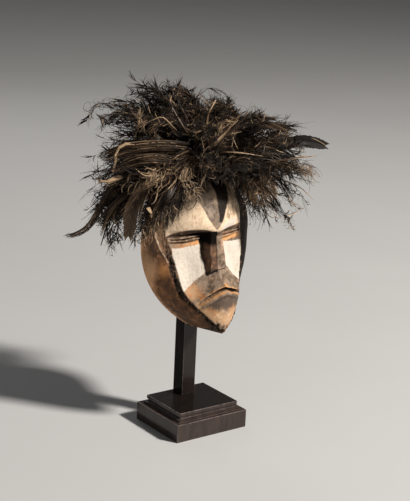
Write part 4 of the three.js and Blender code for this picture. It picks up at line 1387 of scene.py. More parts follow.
# Feathers that stand out in the mass: kind, width, tone, and a path from the knot in millimetres
# to the right of it, above it and out in front of it, as the camera sees it.
STANDING_OUT = [
    ("frayed", 0.4, 0.3,
     [(-21, 10, 30), (-77, -20, 67), (-115, -37, 63), (-133, -61, 54), (-151, -90, 46), (-176, -101, 38)]),
    ("strip", 0.62, 0.36,
     [(-21, 10, 30), (-74, -16, 69), (-112, -28, 71), (-131, -51, 65), (-145, -79, 59), (-163, -93, 52)]),
    ("plume", 0.5, 0, [(-26, 8, 37), (-91, -29, 79), (-116, -59, 73), (-123, -84, 67), (-116, -108, 57)]),
    ("frayed", 0.45, 0.2,
     [(-26, 10, 44), (-81, -23, 83), (-108, -55, 77), (-122, -76, 67), (-117, -102, 59)]),
    ("curl", 0.8, 0.22, [(-56, -36, 77), (-72, -64, 85), (-79, -88, 85), (-84, -98, 83)]),
    ("curl", 0.7, 0.3, [(-43, -27, 87), (-57, -53, 91), (-66, -73, 91), (-70, -91, 87)]),
    ("fluff", 0.8, 0.1, [(-49, -30, 83), (-67, -52, 91), (-78, -70, 91), (-81, -87, 87)]),
    ("frayed", 0.5, 0.1, [(-36, -10, 77), (-50, -34, 97), (-56, -56, 99), (-61, -73, 95)]),
    ("strip", 0.6, 0, [(-34, -7, 77), (-45, -26, 99), (-54, -46, 103), (-59, -65, 99)]),
    ("band", 0.62, 0.18, [(-17, 31, 63), (-51, 36, 92), (-94, 32, 103), (-131, 18, 97)]),
    ("strip", 0.7, 0.22, [(-18, 25, 65), (-57, 31, 97), (-96, 29, 107), (-123, 16, 101)]),
    ("band", 0.5, 0.12, [(-25, 11, 67), (-57, 21, 99), (-83, 19, 109), (-115, 3, 103)]),
    ("strip", 0.4, 0.26, [(-27, 4, 67), (-59, 16, 101), (-85, 15, 111), (-115, 3, 105)]),
    ("mat", 1, 0.14, [(-30, 12, 69), (-46, 7, 99), (-63, -4, 109), (-76, -14, 107)]),
    ("mat", 0.9, 0, [(-57, 10, 77), (-76, 4, 105), (-92, -5, 111), (-107, -12, 105)]),
    ("curl", 0.6, 0.5, [(-42, 7, 87), (-53, -1, 111), (-65, -8, 115), (-76, -9, 113)]),
    ("mat", 0.55, 0.5, [(-17, 18, 57), (-22, 2, 81), (-21, -15, 85), (-10, -33, 77)]),
    ("strip", 0.6, 0.2, [(-20, 15, 57), (-28, -3, 81), (-34, -25, 87), (-42, -47, 81)]),
    ("band", 0.6, -0.04, [(-25, 11, 50), (-42, -7, 79), (-55, -29, 87), (-68, -56, 85)]),
    ("strip", 0.6, 0.1, [(-28, 13, 62), (-44, -10, 87), (-55, -33, 93), (-63, -49, 91)]),
    ("curl", 0.55, 0.3, [(-17, -6, 67), (-16, -25, 75), (-18, -39, 73), (-28, -45, 69)]),
    ("plume", 0.4, 0.1, [(-23, 7, 57), (-29, -15, 73), (-34, -38, 77), (-40, -54, 75)]),
    ("quill", 0.8, 0.14, [(-36, -8, 83), (-45, -17, 97), (-60, -29, 97)]),
    ("strip", 0.32, 0.6, [(5, 14, 44), (2, 2, 61), (-5, -19, 65)]),
    ("quill", 2.5, 0.06, [(-70, 35, 92), (-97, 39, 112), (-111, 27, 119), (-113, 5, 117)]),
    ("quill", 3.2, 0.15, [(-104, -4, 103), (-116, -5, 121), (-131, -9, 119)]),
    ("brush", 0.75, 0.42, [(-93, 26, 77), (-90, 43, 94), (-84, 65, 99), (-83, 82, 94)]),
    ("brush", 0.55, 0.32, [(-95, -17, 93), (-107, -12, 105), (-125, -6, 105)]),
    ("brush", 1, 0, [(-14, 18, 0), (-62, 64, 10), (-97, 94, 10)]),
    ("brush", 1, -0.08, [(-14, 18, 0), (-55, 75, 6), (-87, 99, 6)]),
    ("brush", 0.85, 0.14, [(-11, 19, 8), (-45, 77, 18), (-55, 107, 18)]),
    ("brush", 1, 0.2, [(-11, 20, 12), (-25, 60, 37), (-29, 88, 37)]),
    ("plume", 0.6, 0.14, [(-17, 13, -8), (-102, 56, 0), (-144, 67, 0), (-159, 45, 0)]),
    ("curl", 0.8, 0, [(-19, 15, 0), (-75, 58, 20), (-126, 69, 24), (-147, 57, 20)]),
    ("quill", 0.95, 0, [(-39, 53, 73), (-56, 69, 82), (-71, 63, 81)]),
    ("quill", 1.3, -0.2, [(-12, 37, 59), (-27, 54, 77), (-45, 81, 74)]),
    ("quill", 1.1, -0.26, [(-7, 37, 59), (-22, 62, 75), (-36, 85, 70)]),
    ("quill", 1.2, 0, [(-1, 63, 75), (1, 78, 78), (9, 93, 72)]),
    ("quill", 1.2, -0.14, [(12, 22, 69), (4, 36, 74), (-4, 53, 75)]),
    ("plume", 0.5, 0.06, [(-9, 28, 0), (-19, 79, 6), (-2, 98, 6), (24, 90, 8), (35, 61, 8)]),
    ("strip", 0.36, 0.42, [(18, 28, 49), (16, 50, 72), (20, 67, 79), (36, 67, 77)]),
    ("curl", 0.5, 0.5, [(17, 38, 59), (14, 56, 77), (22, 69, 82), (38, 62, 76)]),
    ("curl", 0.6, 0.24, [(12, 27, 57), (14, 48, 73), (9, 66, 75), (-2, 70, 72)]),
    ("brush", 0.8, -0.06, [(20, 20, 20), (47, 45, 30), (56, 70, 28)]),
    ("brush", 0.9, -0.02, [(23, 20, 16), (81, 40, 24), (108, 64, 22)]),
    ("quill", 1, 0, [(10, 24, 57), (37, 28, 71), (71, 24, 67)]),
    ("quill", 1, 0.06, [(21, 5, 36), (49, 7, 42), (74, 10, 40)]),
    ("strip", 0.42, 0.24, [(15, 9, 30), (51, 8, 40), (95, 14, 36), (139, 19, 25)]),
    ("mat", 0.7, 0.06, [(12, 17, 44), (43, 21, 56), (76, 24, 52), (101, 26, 44)]),
    ("vane", 0.75, -0.16, [(67, 20, 20), (94, 31, 30), (122, 36, 26), (154, 31, 14)]),
    ("quill", 0.8, -0.3, [(88, 28, 44), (100, 44, 48), (113, 55, 43)]),
    ("mat", 0.62, 0.2, [(76, -2, 12), (107, 5, 13), (131, 0, 11), (143, -21, 9)]),
    ("curl", 0.8, 0.3, [(73, -5, 12), (109, 3, 14), (133, -5, 12), (141, -24, 9)]),
    ("quill", 0.8, 0, [(101, -19, 4), (124, -27, 4), (145, -45, 2)]),
    ("strip", 0.5, 0.66, [(45, -3, -10), (58, -21, -10), (63, -43, -10), (65, -59, -10)]),
    ("strip", 0.4, 0.62, [(53, -5, -10), (70, -26, -10), (68, -45, -10), (64, -59, -10)]),
    ("mat", 0.8, 0.32, [(45, -13, -18), (60, -39, -19), (70, -61, -19), (78, -77, -19)]),
    ("curl", 0.7, 0.52, [(52, -26, -18), (66, -53, -20), (78, -67, -19), (87, -78, -19)]),
    ("frayed", 0.5, 0.14, [(45, -4, -3), (86, -34, -2), (113, -49, -2), (130, -62, -3)]),
    ("curl", 0.45, 0.4, [(72, -21, -2), (105, -41, -2), (123, -56, -3), (132, -61, -3)]),
    ("frayed", 0.5, 0.1, [(40, -6, -10), (79, -47, -10), (107, -70, -10), (123, -92, -10)]),
    ("curl", 0.45, 0.36, [(68, -37, -10), (96, -63, -10), (116, -84, -10), (123, -93, -10)]),
    ("plume", 0.6, 0.12, [(31, 1, -3), (74, -16, -1), (107, -28, -2), (126, -41, -3)]),
    ("frayed", 0.6, 0, [(13, 2, -19), (45, -10, -20), (60, -39, -17), (69, -73, -14)]),
    ("plume", 0.55, -0.04, [(16, 3, -16), (48, -15, -17), (57, -47, -16), (63, -85, -14)]),
    ("plume", 0.7, 0.02, [(21, 1, -10), (59, -13, -10), (76, -45, -10), (86, -80, -10)]),
    ("frayed", 0.6, 0.06, [(23, 2, -7), (67, -20, -6), (87, -49, -7), (97, -81, -7)]),
    ("fluff", 1, 0.1, [(18, 0, -17), (52, -26, -19), (64, -53, -18), (70, -74, -17)]),
    ("curl", 0.8, 0.1, [(16, 1, -13), (46, -14, -14), (56, -38, -14), (59, -63, -14)]),
    ("mat", 0.8, 0.06, [(24, -4, -10), (62, -26, -10), (77, -55, -10), (84, -77, -10)]),
    ("frayed", 0.6, 0.04, [(31, 5, 5), (84, -8, 10), (120, -28, 7), (137, -52, 2)]),
    ("frayed", 0.4, 0.04, [(-33, 4, 57), (-92, -25, 69), (-115, -43, 63), (-123, -54, 54)]),
    ("plume", 0.45, -0.04, [(-32, -1, 57), (-81, -33, 73), (-103, -64, 69), (-111, -92, 63)]),
    ("frayed", 0.45, 0, [(-37, 3, 63), (-101, -12, 81), (-124, -25, 75), (-137, -35, 69)]),
    ("fluff", 0.8, 0.04, [(-38, 8, 63), (-94, -6, 85), (-116, -18, 81), (-135, -22, 73)]),
    ("frayed", 0.5, 0.04, [(-21, 23, 44), (-95, 18, 77), (-125, 6, 73), (-142, -7, 65)]),
    ("curl", 0.8, 0.12, [(-21, 25, 52), (-99, 14, 85), (-124, 2, 81), (-140, -9, 73)]),
    ("plume", 0.5, -0.04, [(-37, -7, 67), (-65, -41, 83), (-74, -68, 81), (-78, -90, 77)]),
    ("frayed", 0.5, 0.04, [(-30, -1, 67), (-48, -30, 79), (-57, -54, 79), (-63, -76, 77)]),
    ("frayed", 0.7, 0.04, [(-3, 20, 26), (-9, 59, 37), (-6, 85, 28)]),
    ("curl", 0.8, 0.1, [(-1, 19, 30), (3, 51, 47), (4, 78, 41)]),
    ("fluff", 0.9, 0.04, [(-4, 19, 30), (-14, 50, 50), (-23, 72, 44)]),
    ("vane", 0.9, 0.34, [(-57, 0, 79), (-75, -17, 95), (-91, -42, 99), (-94, -84, 89)]),
    ("strip", 0.42, 0.2, [(-49, -2, 91), (-70, -21, 102), (-79, -45, 101), (-81, -72, 95)]),
    ("fluff", 0.55, -0.06, [(0, 6, 20), (2, 1, 30), (4, -6, 35)]),
    ("frayed", 0.35, -0.02, [(-5, 9, 22), (-7, 1, 41), (-8, -10, 49)]),
    ("frayed", 0.35, -0.1, [(5, 10, 22), (9, 2, 35), (14, -10, 38)]),
    ("fluff", 0.6, -0.08, [(10, 9, 20), (17, 0, 26), (25, -10, 26)]),
    ("plume", 0.4, -0.08, [(10, 7, 20), (21, -6, 26), (30, -24, 22)]),
    ("strip", 0.4, 0.16, [(-9, 14, 30), (-10, 6, 52), (-10, -10, 59)]),
    ("fluff", 0.9, -0.04, [(24, 0, 0), (40, -17, 0), (49, -40, -6)]),
    ("frayed", 0.6, -0.04, [(21, 1, 0), (39, -14, 0), (47, -37, -8), (52, -60, -14)]),
    ("mat", 0.6, 0.02, [(26, -3, 6), (44, -18, 6), (54, -43, 0)]),
    ("plume", 0.5, -0.04, [(32, -6, -10), (54, -27, -10), (61, -59, -10)]),
    ("fluff", 1, -0.06, [(-72, 78, 10), (-81, 83, 10), (-90, 89, 10)]),
    ("fluff", 0.7, 0.2, [(-58, 90, 8), (-55, 98, 8), (-53, 107, 8)]),
    ("plume", 0.5, 0.1, [(-76, 53, -6), (-118, 68, 0), (-143, 70, 4), (-160, 48, 4)]),
    ("curl", 0.7, 0.2, [(-89, 56, -4), (-125, 71, 2), (-146, 68, 6), (-158, 51, 6)]),
    ("mat", 0.6, 0.14, [(-46, -37, 73), (-60, -56, 85), (-69, -76, 87), (-77, -92, 85)]),
    ("fluff", 0.8, 0.06, [(-53, -44, 77), (-64, -64, 85), (-72, -82, 85)]),
    ("curl", 0.7, 0.3, [(-57, -51, 81), (-69, -71, 87), (-77, -89, 85)]),
    ("curl", 0.5, 0.4, [(117, 4, 20), (133, 1, 16), (142, -13, 10)]),
    ("curl", 0.35, 0.45, [(110, -40, 2), (122, -54, 0), (131, -60, -2)]),
    ("strip", 0.3, 0.6, [(55, -15, -7), (60, -31, -6), (62, -50, -7)]),
    ("curl", 0.6, 0.36, [(55, -33, -14), (66, -51, -14), (78, -64, -13)]),
    ("quill", 0.5, 0, [(117, 40, 24), (134, 42, 22), (154, 32, 14)]),
    ("quill", 0.6, 0, [(100, 12, 24), (126, 18, 22), (142, 15, 14)]),
    ("curl", 0.5, 0.6, [(-29, 7, 83), (-26, -11, 91), (-15, -32, 87)]),
    ("mat", 0.8, 0.5, [(-10, 9, 38), (-17, -13, 46), (-20, -25, 52), (-21, -41, 52)]),
    ("strip", 1, -0.08, [(-20, 8, 57), (-27, -15, 63), (-32, -38, 65), (-38, -66, 63)]),
    ("strip", 0.8, 0, [(-22, -1, 52), (-28, -27, 54), (-33, -47, 57), (-36, -60, 57)]),
    ("plume", 0.6, 0, [(-32, -9, 57), (-41, -30, 57), (-48, -49, 57), (-55, -68, 54)]),
    ("frayed", 0.5, 0.1, [(-25, 11, 52), (-35, -11, 57), (-42, -37, 59), (-46, -58, 54)]),
    ("quill", 0.5, -0.1,
     [(-9, -40, 48), (-13, -50, 50), (-21, -54, 52), (-25, -49, 52), (-21, -42, 52), (-12, -43, 50)]),
    ("mat", 0.8, -0.06, [(-20, 1, 49), (-30, -22, 57), (-38, -40, 59), (-43, -56, 59)]),
    ("mat", 0.6, 0.05, [(-37, -8, 59), (-44, -34, 63), (-47, -55, 63), (-47, -74, 59)]),
    ("strip", 0.6, 0, [(-32, -13, 59), (-38, -39, 61), (-43, -58, 61), (-46, -79, 57)]),
    ("curl", 0.6, 0.2, [(-36, -26, 61), (-42, -47, 63), (-45, -63, 63), (-46, -80, 59)]),
    ("mat", 0.8, 0, [(-17, -1, 52), (-25, -21, 57), (-31, -39, 59), (-35, -58, 59)]),
    ("strip", 0.7, -0.04, [(-15, -4, 49), (-21, -24, 57), (-27, -42, 59), (-31, -58, 59)]),
    ("fluff", 1, 0, [(-57, -10, 57), (-102, -31, 67), (-125, -51, 63), (-137, -66, 59)]),
    ("frayed", 0.7, 0.04, [(-57, -14, 63), (-99, -40, 69), (-119, -63, 65), (-132, -81, 61)]),
    ("plume", 0.7, 0.02, [(-69, -12, 73), (-101, -44, 77), (-116, -70, 71), (-126, -87, 65)]),
    ("strip", 0.6, 0.14, [(-69, -5, 83), (-103, -32, 85), (-123, -55, 79), (-133, -76, 71)]),
    ("plume", 0.6, 0, [(-46, 9, 44), (-98, 6, 67), (-128, -4, 65), (-150, -14, 59)]),
    ("frayed", 0.6, 0, [(-46, 4, 44), (-103, -4, 69), (-130, -19, 65), (-151, -35, 59)]),
    ("plume", 0.6, -0.04, [(-48, -1, 49), (-105, -20, 71), (-132, -40, 65), (-149, -59, 57)]),
    ("fluff", 0.9, -0.04, [(-59, 9, 49), (-105, 3, 69), (-131, -6, 67), (-149, -6, 61)]),
    ("fluff", 0.9, 0, [(-58, 1, 49), (-107, -17, 69), (-132, -32, 67), (-148, -39, 61)]),
    ("fluff", 0.9, 0, [(-58, -5, 54), (-102, -32, 71), (-124, -53, 67), (-140, -71, 61)]),
    ("plume", 0.55, 0, [(-34, 22, 44), (-94, 24, 67), (-126, 19, 63), (-150, 9, 57)]),
    ("frayed", 0.5, 0, [(-34, 26, 38), (-92, 33, 63), (-125, 34, 60), (-141, 37, 52)]),
    ("frayed", 0.5, 0.02, [(-57, -13, 67), (-96, -51, 77), (-108, -77, 73), (-104, -103, 63)]),
    ("fluff", 0.7, 0.04, [(-69, -20, 71), (-101, -54, 77), (-113, -79, 73), (-116, -110, 59)]),
    ("plume", 0.6, 0.06, [(-81, -33, 73), (-108, -61, 73), (-119, -87, 67), (-115, -119, 54)]),
    ("band", 0.36, 0.14,
     [(-99, -2, 91), (-119, -26, 79), (-132, -54, 67), (-146, -80, 57), (-164, -95, 46), (-178, -100, 38)]),
    ("fluff", 0.8, -0.04, [(-49, -12, 67), (-71, -39, 79), (-77, -63, 81), (-79, -87, 77)]),
    ("plume", 0.55, -0.04, [(-50, -8, 63), (-73, -43, 73), (-82, -73, 73), (-87, -96, 67)]),
    ("frayed", 0.5, 0, [(-42, -12, 67), (-60, -41, 81), (-70, -65, 81), (-71, -90, 77)]),
    ("plume", 0.5, -0.1, [(-26, 14, 52), (-37, -11, 69), (-46, -36, 75), (-55, -59, 77)]),
    ("frayed", 0.45, -0.1, [(-23, 9, 52), (-32, -15, 65), (-40, -35, 69), (-49, -54, 71)]),
    ("quill", 0.75, -0.1, [(-66, 2, 91), (-75, -13, 105), (-90, -34, 108), (-102, -54, 103)]),
    ("strip", 0.9, -0.1, [(-20, 4, 52), (-27, -16, 59), (-32, -38, 61), (-40, -67, 59)]),
    ("plume", 0.45, -0.14, [(-22, 1, 52), (-29, -21, 61), (-34, -44, 63), (-40, -66, 61)]),
    ("plume", 0.4, -0.14, [(-17, -1, 52), (-23, -20, 61), (-28, -41, 63), (-32, -60, 61)]),
    ("plume", 0.5, -0.1, [(-30, -8, 57), (-39, -31, 65), (-45, -52, 65), (-48, -74, 61)]),
    ("plume", 0.6, -0.12, [(-20, 2, 57), (-36, -20, 67), (-48, -40, 73), (-58, -57, 73)]),
    ("mat", 0.6, -0.14, [(-24, -5, 61), (-39, -25, 67), (-49, -46, 69)]),
    ("frayed", 0.6, -0.1, [(-32, -6, 67), (-43, -26, 73), (-55, -44, 77), (-67, -57, 79)]),
    ("quill", 2.4, 0.15, [(-69, -41, 105), (-66, -46, 109), (-64, -52, 109)]),
    ("fluff", 0.9, 0, [(-97, -4, 44), (-129, -15, 49), (-148, -24, 49)]),
    ("fluff", 0.9, 0, [(-96, -32, 49), (-123, -46, 52), (-142, -57, 52)]),
    ("fluff", 0.9, 0, [(84, -2, 0), (113, -2, 4), (138, -6, 4)]),
    ("frayed", 0.6, 0, [(82, -7, 0), (116, -13, 4), (140, -20, 2)]),
    ("plume", 0.6, 0, [(78, 2, 4), (112, 6, 6), (140, 2, 4)]),
    ("curl", 0.7, 0.3, [(97, -2, 10), (123, -6, 10), (141, -13, 8)]),
    ("plume", 0.7, -0.06, [(-3, 16, 0), (-39, 58, 10), (-55, 75, 10)]),
    ("frayed", 0.6, -0.06, [(2, 16, 0), (5, 60, 10), (17, 84, 10)]),
    ("plume", 0.6, -0.06, [(13, 11, 0), (55, 46, 8), (83, 55, 8)]),
    ("fluff", 0.9, -0.06, [(13, 6, 0), (72, 23, 8), (108, 33, 8)]),
    ("plume", 0.6, -0.06, [(18, 3, 0), (83, 13, 8), (127, 13, 8)]),
    ("plume", 0.6, -0.06, [(18, -2, -1), (74, -20, 6), (118, -34, 3)]),
    ("fluff", 0.9, -0.06, [(-9, 13, -10), (-75, 46, 0), (-115, 60, 0)]),
]

# Outlines in the camera's view, in millimetres to the right of the knot and above it
BARE_FOREHEAD = [
    (-51, -86), (-40, -70), (-25, -56), (-7, -47), (-7, -26), (-1, -11), (10, -12), (22, -21), (32, -25),
    (42, -35), (49, -46), (51, -92), (-50, -97)]
HEADDRESS = [
    (-185, -99), (-167, -89), (-151, -76), (-143, -55), (-137, -38), (-154, -29), (-158, -11), (-148, 5),
    (-160, 12), (-146, 22), (-146, 36), (-135, 51), (-144, 57), (-161, 52), (-158, 71), (-144, 82),
    (-130, 77), (-116, 78), (-114, 89), (-113, 110), (-100, 116), (-74, 109), (-62, 116), (-49, 122),
    (-36, 115), (-37, 99), (-26, 95), (-12, 97), (10, 95), (30, 84), (39, 69), (46, 52), (54, 71), (63, 72),
    (76, 56), (94, 52), (111, 63), (122, 50), (126, 34), (148, 33), (160, 23), (147, 5), (140, -6),
    (147, -21), (142, -50), (131, -67), (121, -96), (110, -80), (88, -89), (65, -84), (58, -103), (50, -131),
    (-74, -131), (-87, -110), (-99, -109), (-113, -103), (-117, -124), (-129, -116), (-133, -92),
    (-146, -92), (-165, -101), (-181, -103)]
# Where the strands are painted paler, as painted light, in the same view: right of the knot, above it, how
# far it reaches and the added tone
PAINTED_LIGHT_PLACES = [
    (73, -37, 34, 0.4), (-67, -21, 28, 0.2), (29, 44, 22, 0.14), (-91, 57, 20, 0.12), (139, -17, 22, 0.2)]
# Outline of the face where the key light reaches it, as the mask is seen from the front, and its depth
LIT_FACE = [
    (-60, 284), (-46, 297), (-30, 306), (-8, 318), (8, 318), (18, 304), (44, 303), (54, 286), (56, 262),
    (52, 215), (30, 150), (-10, 145), (-48, 200), (-58, 255)]
LIT_FACE_Y = -26


def smooth_path(corners, shares):
    """Points at the shares of a smooth curve through the corners."""
    corners = np.array(corners, float)
    steps = np.linalg.norm(np.diff(corners, axis=0), axis=1)
    places = np.append(0, np.cumsum(steps)) / steps.sum()
    return np.stack([curve_through(*zip(places, corners[:, axis]))(shares) for axis in range(3)], axis=-1)


def camera_side():
    """To the right, up and toward the camera, level with the floor, as the rows of a matrix."""
    turn = math.radians(CAMERA_AZIMUTH)
    return np.array([[math.cos(turn), math.sin(turn), 0], [0, 0, 1], [math.sin(turn), -math.cos(turn), 0]])


def from_camera_side(path):
    """Points to the right of, above and in front of the knot, in the frame of the model."""
    return KNOT_CENTRE + np.asarray(path, float) @ camera_side()


def hides_forehead(points):
    """Whether a feather hangs before the bare forehead."""
    before = 8
    right, above, toward = camera_side() @ (points - KNOT_CENTRE).T
    return bool(((toward > before) & (inside_distance(right, above, BARE_FOREHEAD) > 0)).any())


def shades_face(points):
    """Whether a feather would keep the key light off the face."""
    margin = 4
    ahead = points[points[:, 1] < LIT_FACE_Y - margin]
    light = np.array(KEY_DIRECTION)
    fallen = ahead - light * ((ahead[:, 1:2] - LIT_FACE_Y) / light[1])
    return bool((inside_distance(fallen[:, 0] - MASK_X, fallen[:, 2], LIT_FACE) > 0).any())


def in_picture(points):
    """Millimetres to the right of the knot and above it, in the picture that the camera takes."""
    right, up, back = (np.array(axis) for axis in camera_axes())
    from_camera = points - np.array(CAMERA_PLACE) / MM
    knot = KNOT_CENTRE - np.array(CAMERA_PLACE) / MM
    scale = (knot @ back) / (from_camera @ back)
    return from_camera @ right * scale - knot @ right, from_camera @ up * scale - knot @ up


def leaves_outline(points):
    """Whether more than the last wisps of a feather would stick out of the headdress."""
    wisps_from, loose, farthest = 94, 1.5, 8
    outside = -inside_distance(*in_picture(points), HEADDRESS)
    return bool(np.percentile(outside, wisps_from) > loose or outside.max() > farthest)


def painted_light_tone(points):
    """How much paler the strands are painted here than elsewhere in the mass, as painted light where light
    falls on them.
    """
    right, above = in_picture(points)
    return sum(tone * hill(np.hypot(right - x, above - z), 0, reach) for x, z, reach, tone in PAINTED_LIGHT_PLACES)


def behind_front(points):
    """Presses the mass back a little, and more high up, so that the feathers in front of it stand out."""
    front, higher_up, soft = 88, 18, 14
    forward = camera_side()[2]
    toward = (points - KNOT_CENTRE) @ forward
    limit = front - higher_up * smoothstep(points[:, 2] - KNOT_CENTRE[2], 15, 70)
    over = np.maximum(toward - (limit - soft), 0)
    return points - (over - soft * np.tanh(over / soft))[:, None] * forward


def laid_on_path(corners, feather, roll, width, flat):
    """A feather's points along a smooth curve through the corners. A flat one faces the camera."""
    shares = np.clip(feather.points[:, 0] / TEMPLATE_LENGTH, 0, 1.12)
    fine = np.linspace(0, 1, 40)
    line = smooth_path(corners, fine)
    length = np.linalg.norm(np.diff(line, axis=0), axis=1).sum()
    ahead = unit(np.gradient(line, axis=0))
    aside = unit(np.cross(ahead, camera_side()[2] if flat else np.array([0.1, 0.15, 1.0])))
    over = np.cross(aside, ahead)
    inner = np.clip(shares, 0, 1)
    place, across, above = (along_line(values, fine, inner) for values in (line, aside, over))
    y, z = rolled(feather, roll, width)
    beyond = (shares - inner)[:, None] * length
    return place + ahead[-1] * beyond + across * y[:, None] + above * z[:, None]


def standing_out_by_lock(locks, templates):
    """Each of the feathers that stand out, placed, under the name of the lock that it lies nearest to."""
    random = np.random.default_rng(5)
    middle_share = 0.6
    middles = {lock["name"]: lock_frame(lock, [middle_share])[0][0] for lock in locks}
    sorted_out = {lock["name"]: [] for lock in locks}
    for kind, width, tone, path in STANDING_OUT:
        feather = templates[kind][random.integers(len(templates[kind]))]
        corners = from_camera_side(path)
        points = laid_on_path(corners, feather, random.normal(0, 0.3), width, kind in ("band", "vane", "mat"))
        middle = smooth_path(corners, np.array([middle_share]))[0]
        nearest = min(middles, key=lambda name: np.linalg.norm(middles[name] - middle))
        sorted_out[nearest].append((feather, points, tone))
    return sorted_out


def kept_in_room(points):
    """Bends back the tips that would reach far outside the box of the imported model."""
    proud, soft = 10.0, 12.0
    low = np.array(cad_low) / MM - proud
    high = np.array(cad_high) / MM + proud
    over = np.maximum(points - (high - soft), 0)
    under = np.maximum((low + soft) - points, 0)
    return points - over + soft * np.tanh(over / soft) + under - soft * np.tanh(under / soft)


def keep_off_mask(points, skin):
    """Moves what would run into the wood out to just above the nearest place on its skin."""
    clearance, deepest = 0.9, 60
    mask_reach, mask_top, mask_back = 90, 352, 16
    x, y, z = points.T
    for i in np.flatnonzero((np.abs(x - MASK_X) < mask_reach) & (z < mask_top) & (y < mask_back)):
        place, normal, _, distance = skin.find_nearest(Vector(points[i]))
        if (Vector(points[i]) - place).dot(normal) < clearance and distance < deepest:
            points[i] = place + normal * clearance
    return points


def dress_strands(mesh, points, tones, alongs):
    """Gives a mesh of strands its places, which are in millimetres, and what its colour needs."""
    mesh.vertices.foreach_set("co", (points * MM).reshape(-1))
    set_attribute(mesh, "tone", np.clip(tones, 0, 1))
    set_attribute(mesh, "along", alongs)
    mesh.update()


KINDS = ("plume", "frayed", "fluff", "brush", "strip", "curl")
SHARES = {
    "fringe": (0.30, 0.24, 0.12, 0.06, 0.18, 0.10),
    "brim": (0.30, 0.22, 0.12, 0.08, 0.18, 0.10),
    "crest": (0.26, 0.26, 0.14, 0.14, 0.12, 0.08),
    "crown": (0.22, 0.26, 0.14, 0.22, 0.06, 0.10),
    "tuft": (0.16, 0.24, 0.16, 0.34, 0.0, 0.10),
}
BUNDLES_IN_LOCK = {"fringe": 6, "brim": 5, "crest": 5, "crown": 4, "tuft": 4}
FEATHERS_IN_BUNDLE = 4
CAUGHT_SHARE = 0.3
TRIES = 9


def out_of_place(points):
    """Whether a feather is where it may not be. One point in five is enough to tell."""
    checked = points[::5]
    return hides_forehead(checked) or shades_face(checked) or leaves_outline(checked)


def lay_bundle(lock, templates, random):
    """The feathers of one bundle, shortened where they would hide the face or stick out of the outline."""
    bundle = gathered(lock, random)
    laid = []
    for _ in range(FEATHERS_IN_BUNDLE):
        kind = random.choice(KINDS, p=SHARES[lock["tier"]])
        feather = templates[kind][random.integers(len(templates[kind]))]
        width = random.uniform(0.7, 1.15)
        reach = bundle["reach"] * random.uniform(0.8, 1.05)
        caught = random.uniform() < CAUGHT_SHARE
        for _ in range(TRIES):
            points = behind_front(bent_along(lock, bundle, feather, random, reach, width, caught))
            if not out_of_place(points):
                laid.append((feather, points, bundle["tone"] + random.normal(0, 0.04)))
                break
            reach, width = reach * 0.87, width * 0.93
    return laid


def make_lock(lock, templates, standing_out, skin, material):
    """All the feathers of a lock as one piece. A lock that none fits in gets a short stub."""
    random = np.random.default_rng(100 + lock["seed"])
    feathers = []
    for _ in range(BUNDLES_IN_LOCK[lock["tier"]]):
        feathers += lay_bundle(lock, templates, random)
    if not feathers:
        stub = templates["fluff"][0]
        feathers = [(stub, bent_along(lock, gathered(lock, random), stub, random, 0.3, 0.4), 0.0)]
    shape = bmesh.new()
    points, tones, alongs = [], [], []
    for feather, laid, tone in feathers + standing_out:
        shape.from_mesh(feather.mesh)
        points.append(laid)
        # The tone is painted paler in some places, as painted light.
        tones.append(feather.tones + tone + painted_light_tone(laid))
        alongs.append(feather.alongs)
    mesh = as_mesh(shape, lock["name"] + "_plumes")
    clear = keep_off_mask(kept_in_room(np.concatenate(points)), skin)
    dress_strands(mesh, clear, np.concatenate(tones), np.concatenate(alongs))
    add_piece(mesh, lock["name"], [material])


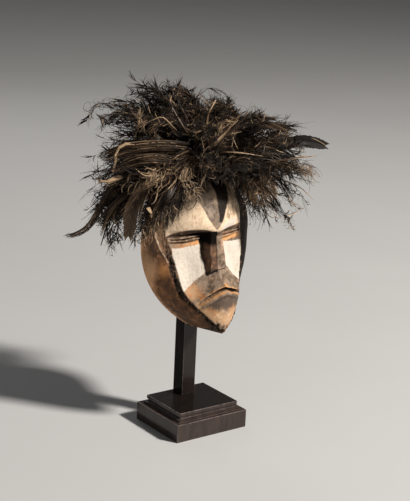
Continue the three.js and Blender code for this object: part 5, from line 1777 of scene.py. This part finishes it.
def make_knot(material):
    """The bound roots: a ball under a layer of fibres that run over it and into the locks."""
    fibres = 150
    random = np.random.default_rng(7)
    ball = bmesh.new()
    bmesh.ops.create_uvsphere(ball, u_segments=48, v_segments=28, radius=KNOT_RADIUS - 3)
    underside = POST_HIGH.z + 1
    for vert in ball.verts:
        ridge = 1 + 0.035 * math.sin(17 * math.atan2(vert.co.y, vert.co.x)) + 0.02 * noise.noise(vert.co / 3)
        vert.co = vert.co * ridge + Vector(KNOT_CENTRE)
        vert.co.z = max(vert.co.z, underside)
    roots = Feather()
    roots.add_mesh(as_mesh(ball, "knot_ball"), tone=0.1)
    for _ in range(fibres):
        turn = random.uniform(0, 2 * math.pi)
        rise = np.linspace(-0.45, random.uniform(0.6, 1.4), len(FIBRE.steps))
        heading = turn + random.uniform(-0.6, 0.6) * FIBRE.steps
        radius = KNOT_RADIUS - 2.2 + random.uniform(-0.6, 1.4)
        line = KNOT_CENTRE + radius * np.stack(
            [np.cos(heading) * np.cos(rise), np.sin(heading) * np.cos(rise), np.sin(rise)], axis=-1)
        roots.add(FIBRE, line, random.uniform(0.7, 1.3), strand_tone(random, 0.2), taper=0.4)
    roots.finish()
    roots.mesh.name = "feather_knot_roots"
    dress_strands(roots.mesh, roots.points, roots.tones, roots.alongs)
    add_piece(roots.mesh, "feather_knot", [material])


def mask_skin_tree(outer):
    """The outer skin alone, thinned out and facing outward, for keeping the feathers off it."""
    shape = shaped_grid(outer[::4, ::4])
    bmesh.ops.recalc_face_normals(shape, faces=shape.faces)
    tree = BVHTree.FromBMesh(shape)
    before_face = Vector((MASK_X, -200, 300))
    _, normal, _, _ = tree.find_nearest(before_face)
    if normal.y > 0:
        bmesh.ops.reverse_faces(shape, faces=shape.faces)
        tree = BVHTree.FromBMesh(shape)
    shape.free()
    return tree


make_camera()
make_lights()
make_floor()
make_base([stand_material("polished_dark_wood", 0.0), stand_material("rubbed_wood_edge", 1.0)])
# The post's wood is the base's wood painted darker, as painted shade: the post stands in shadow.
make_post([stand_material("shaded_post_wood", 0.0, 0.36), stand_material("shaded_rubbed_post_edge", 0.5, 0.36)])
skin_points = make_mask()
feather_finish = feather_material()
mask_skin_bvh = mask_skin_tree(skin_points)
feather_templates = make_templates()
make_knot(feather_finish)
feather_locks = lock_layout()
strays = standing_out_by_lock(feather_locks, feather_templates)
for feather_lock in feather_locks:
    make_lock(feather_lock, feather_templates, strays[feather_lock["name"]], mask_skin_bvh, feather_finish)
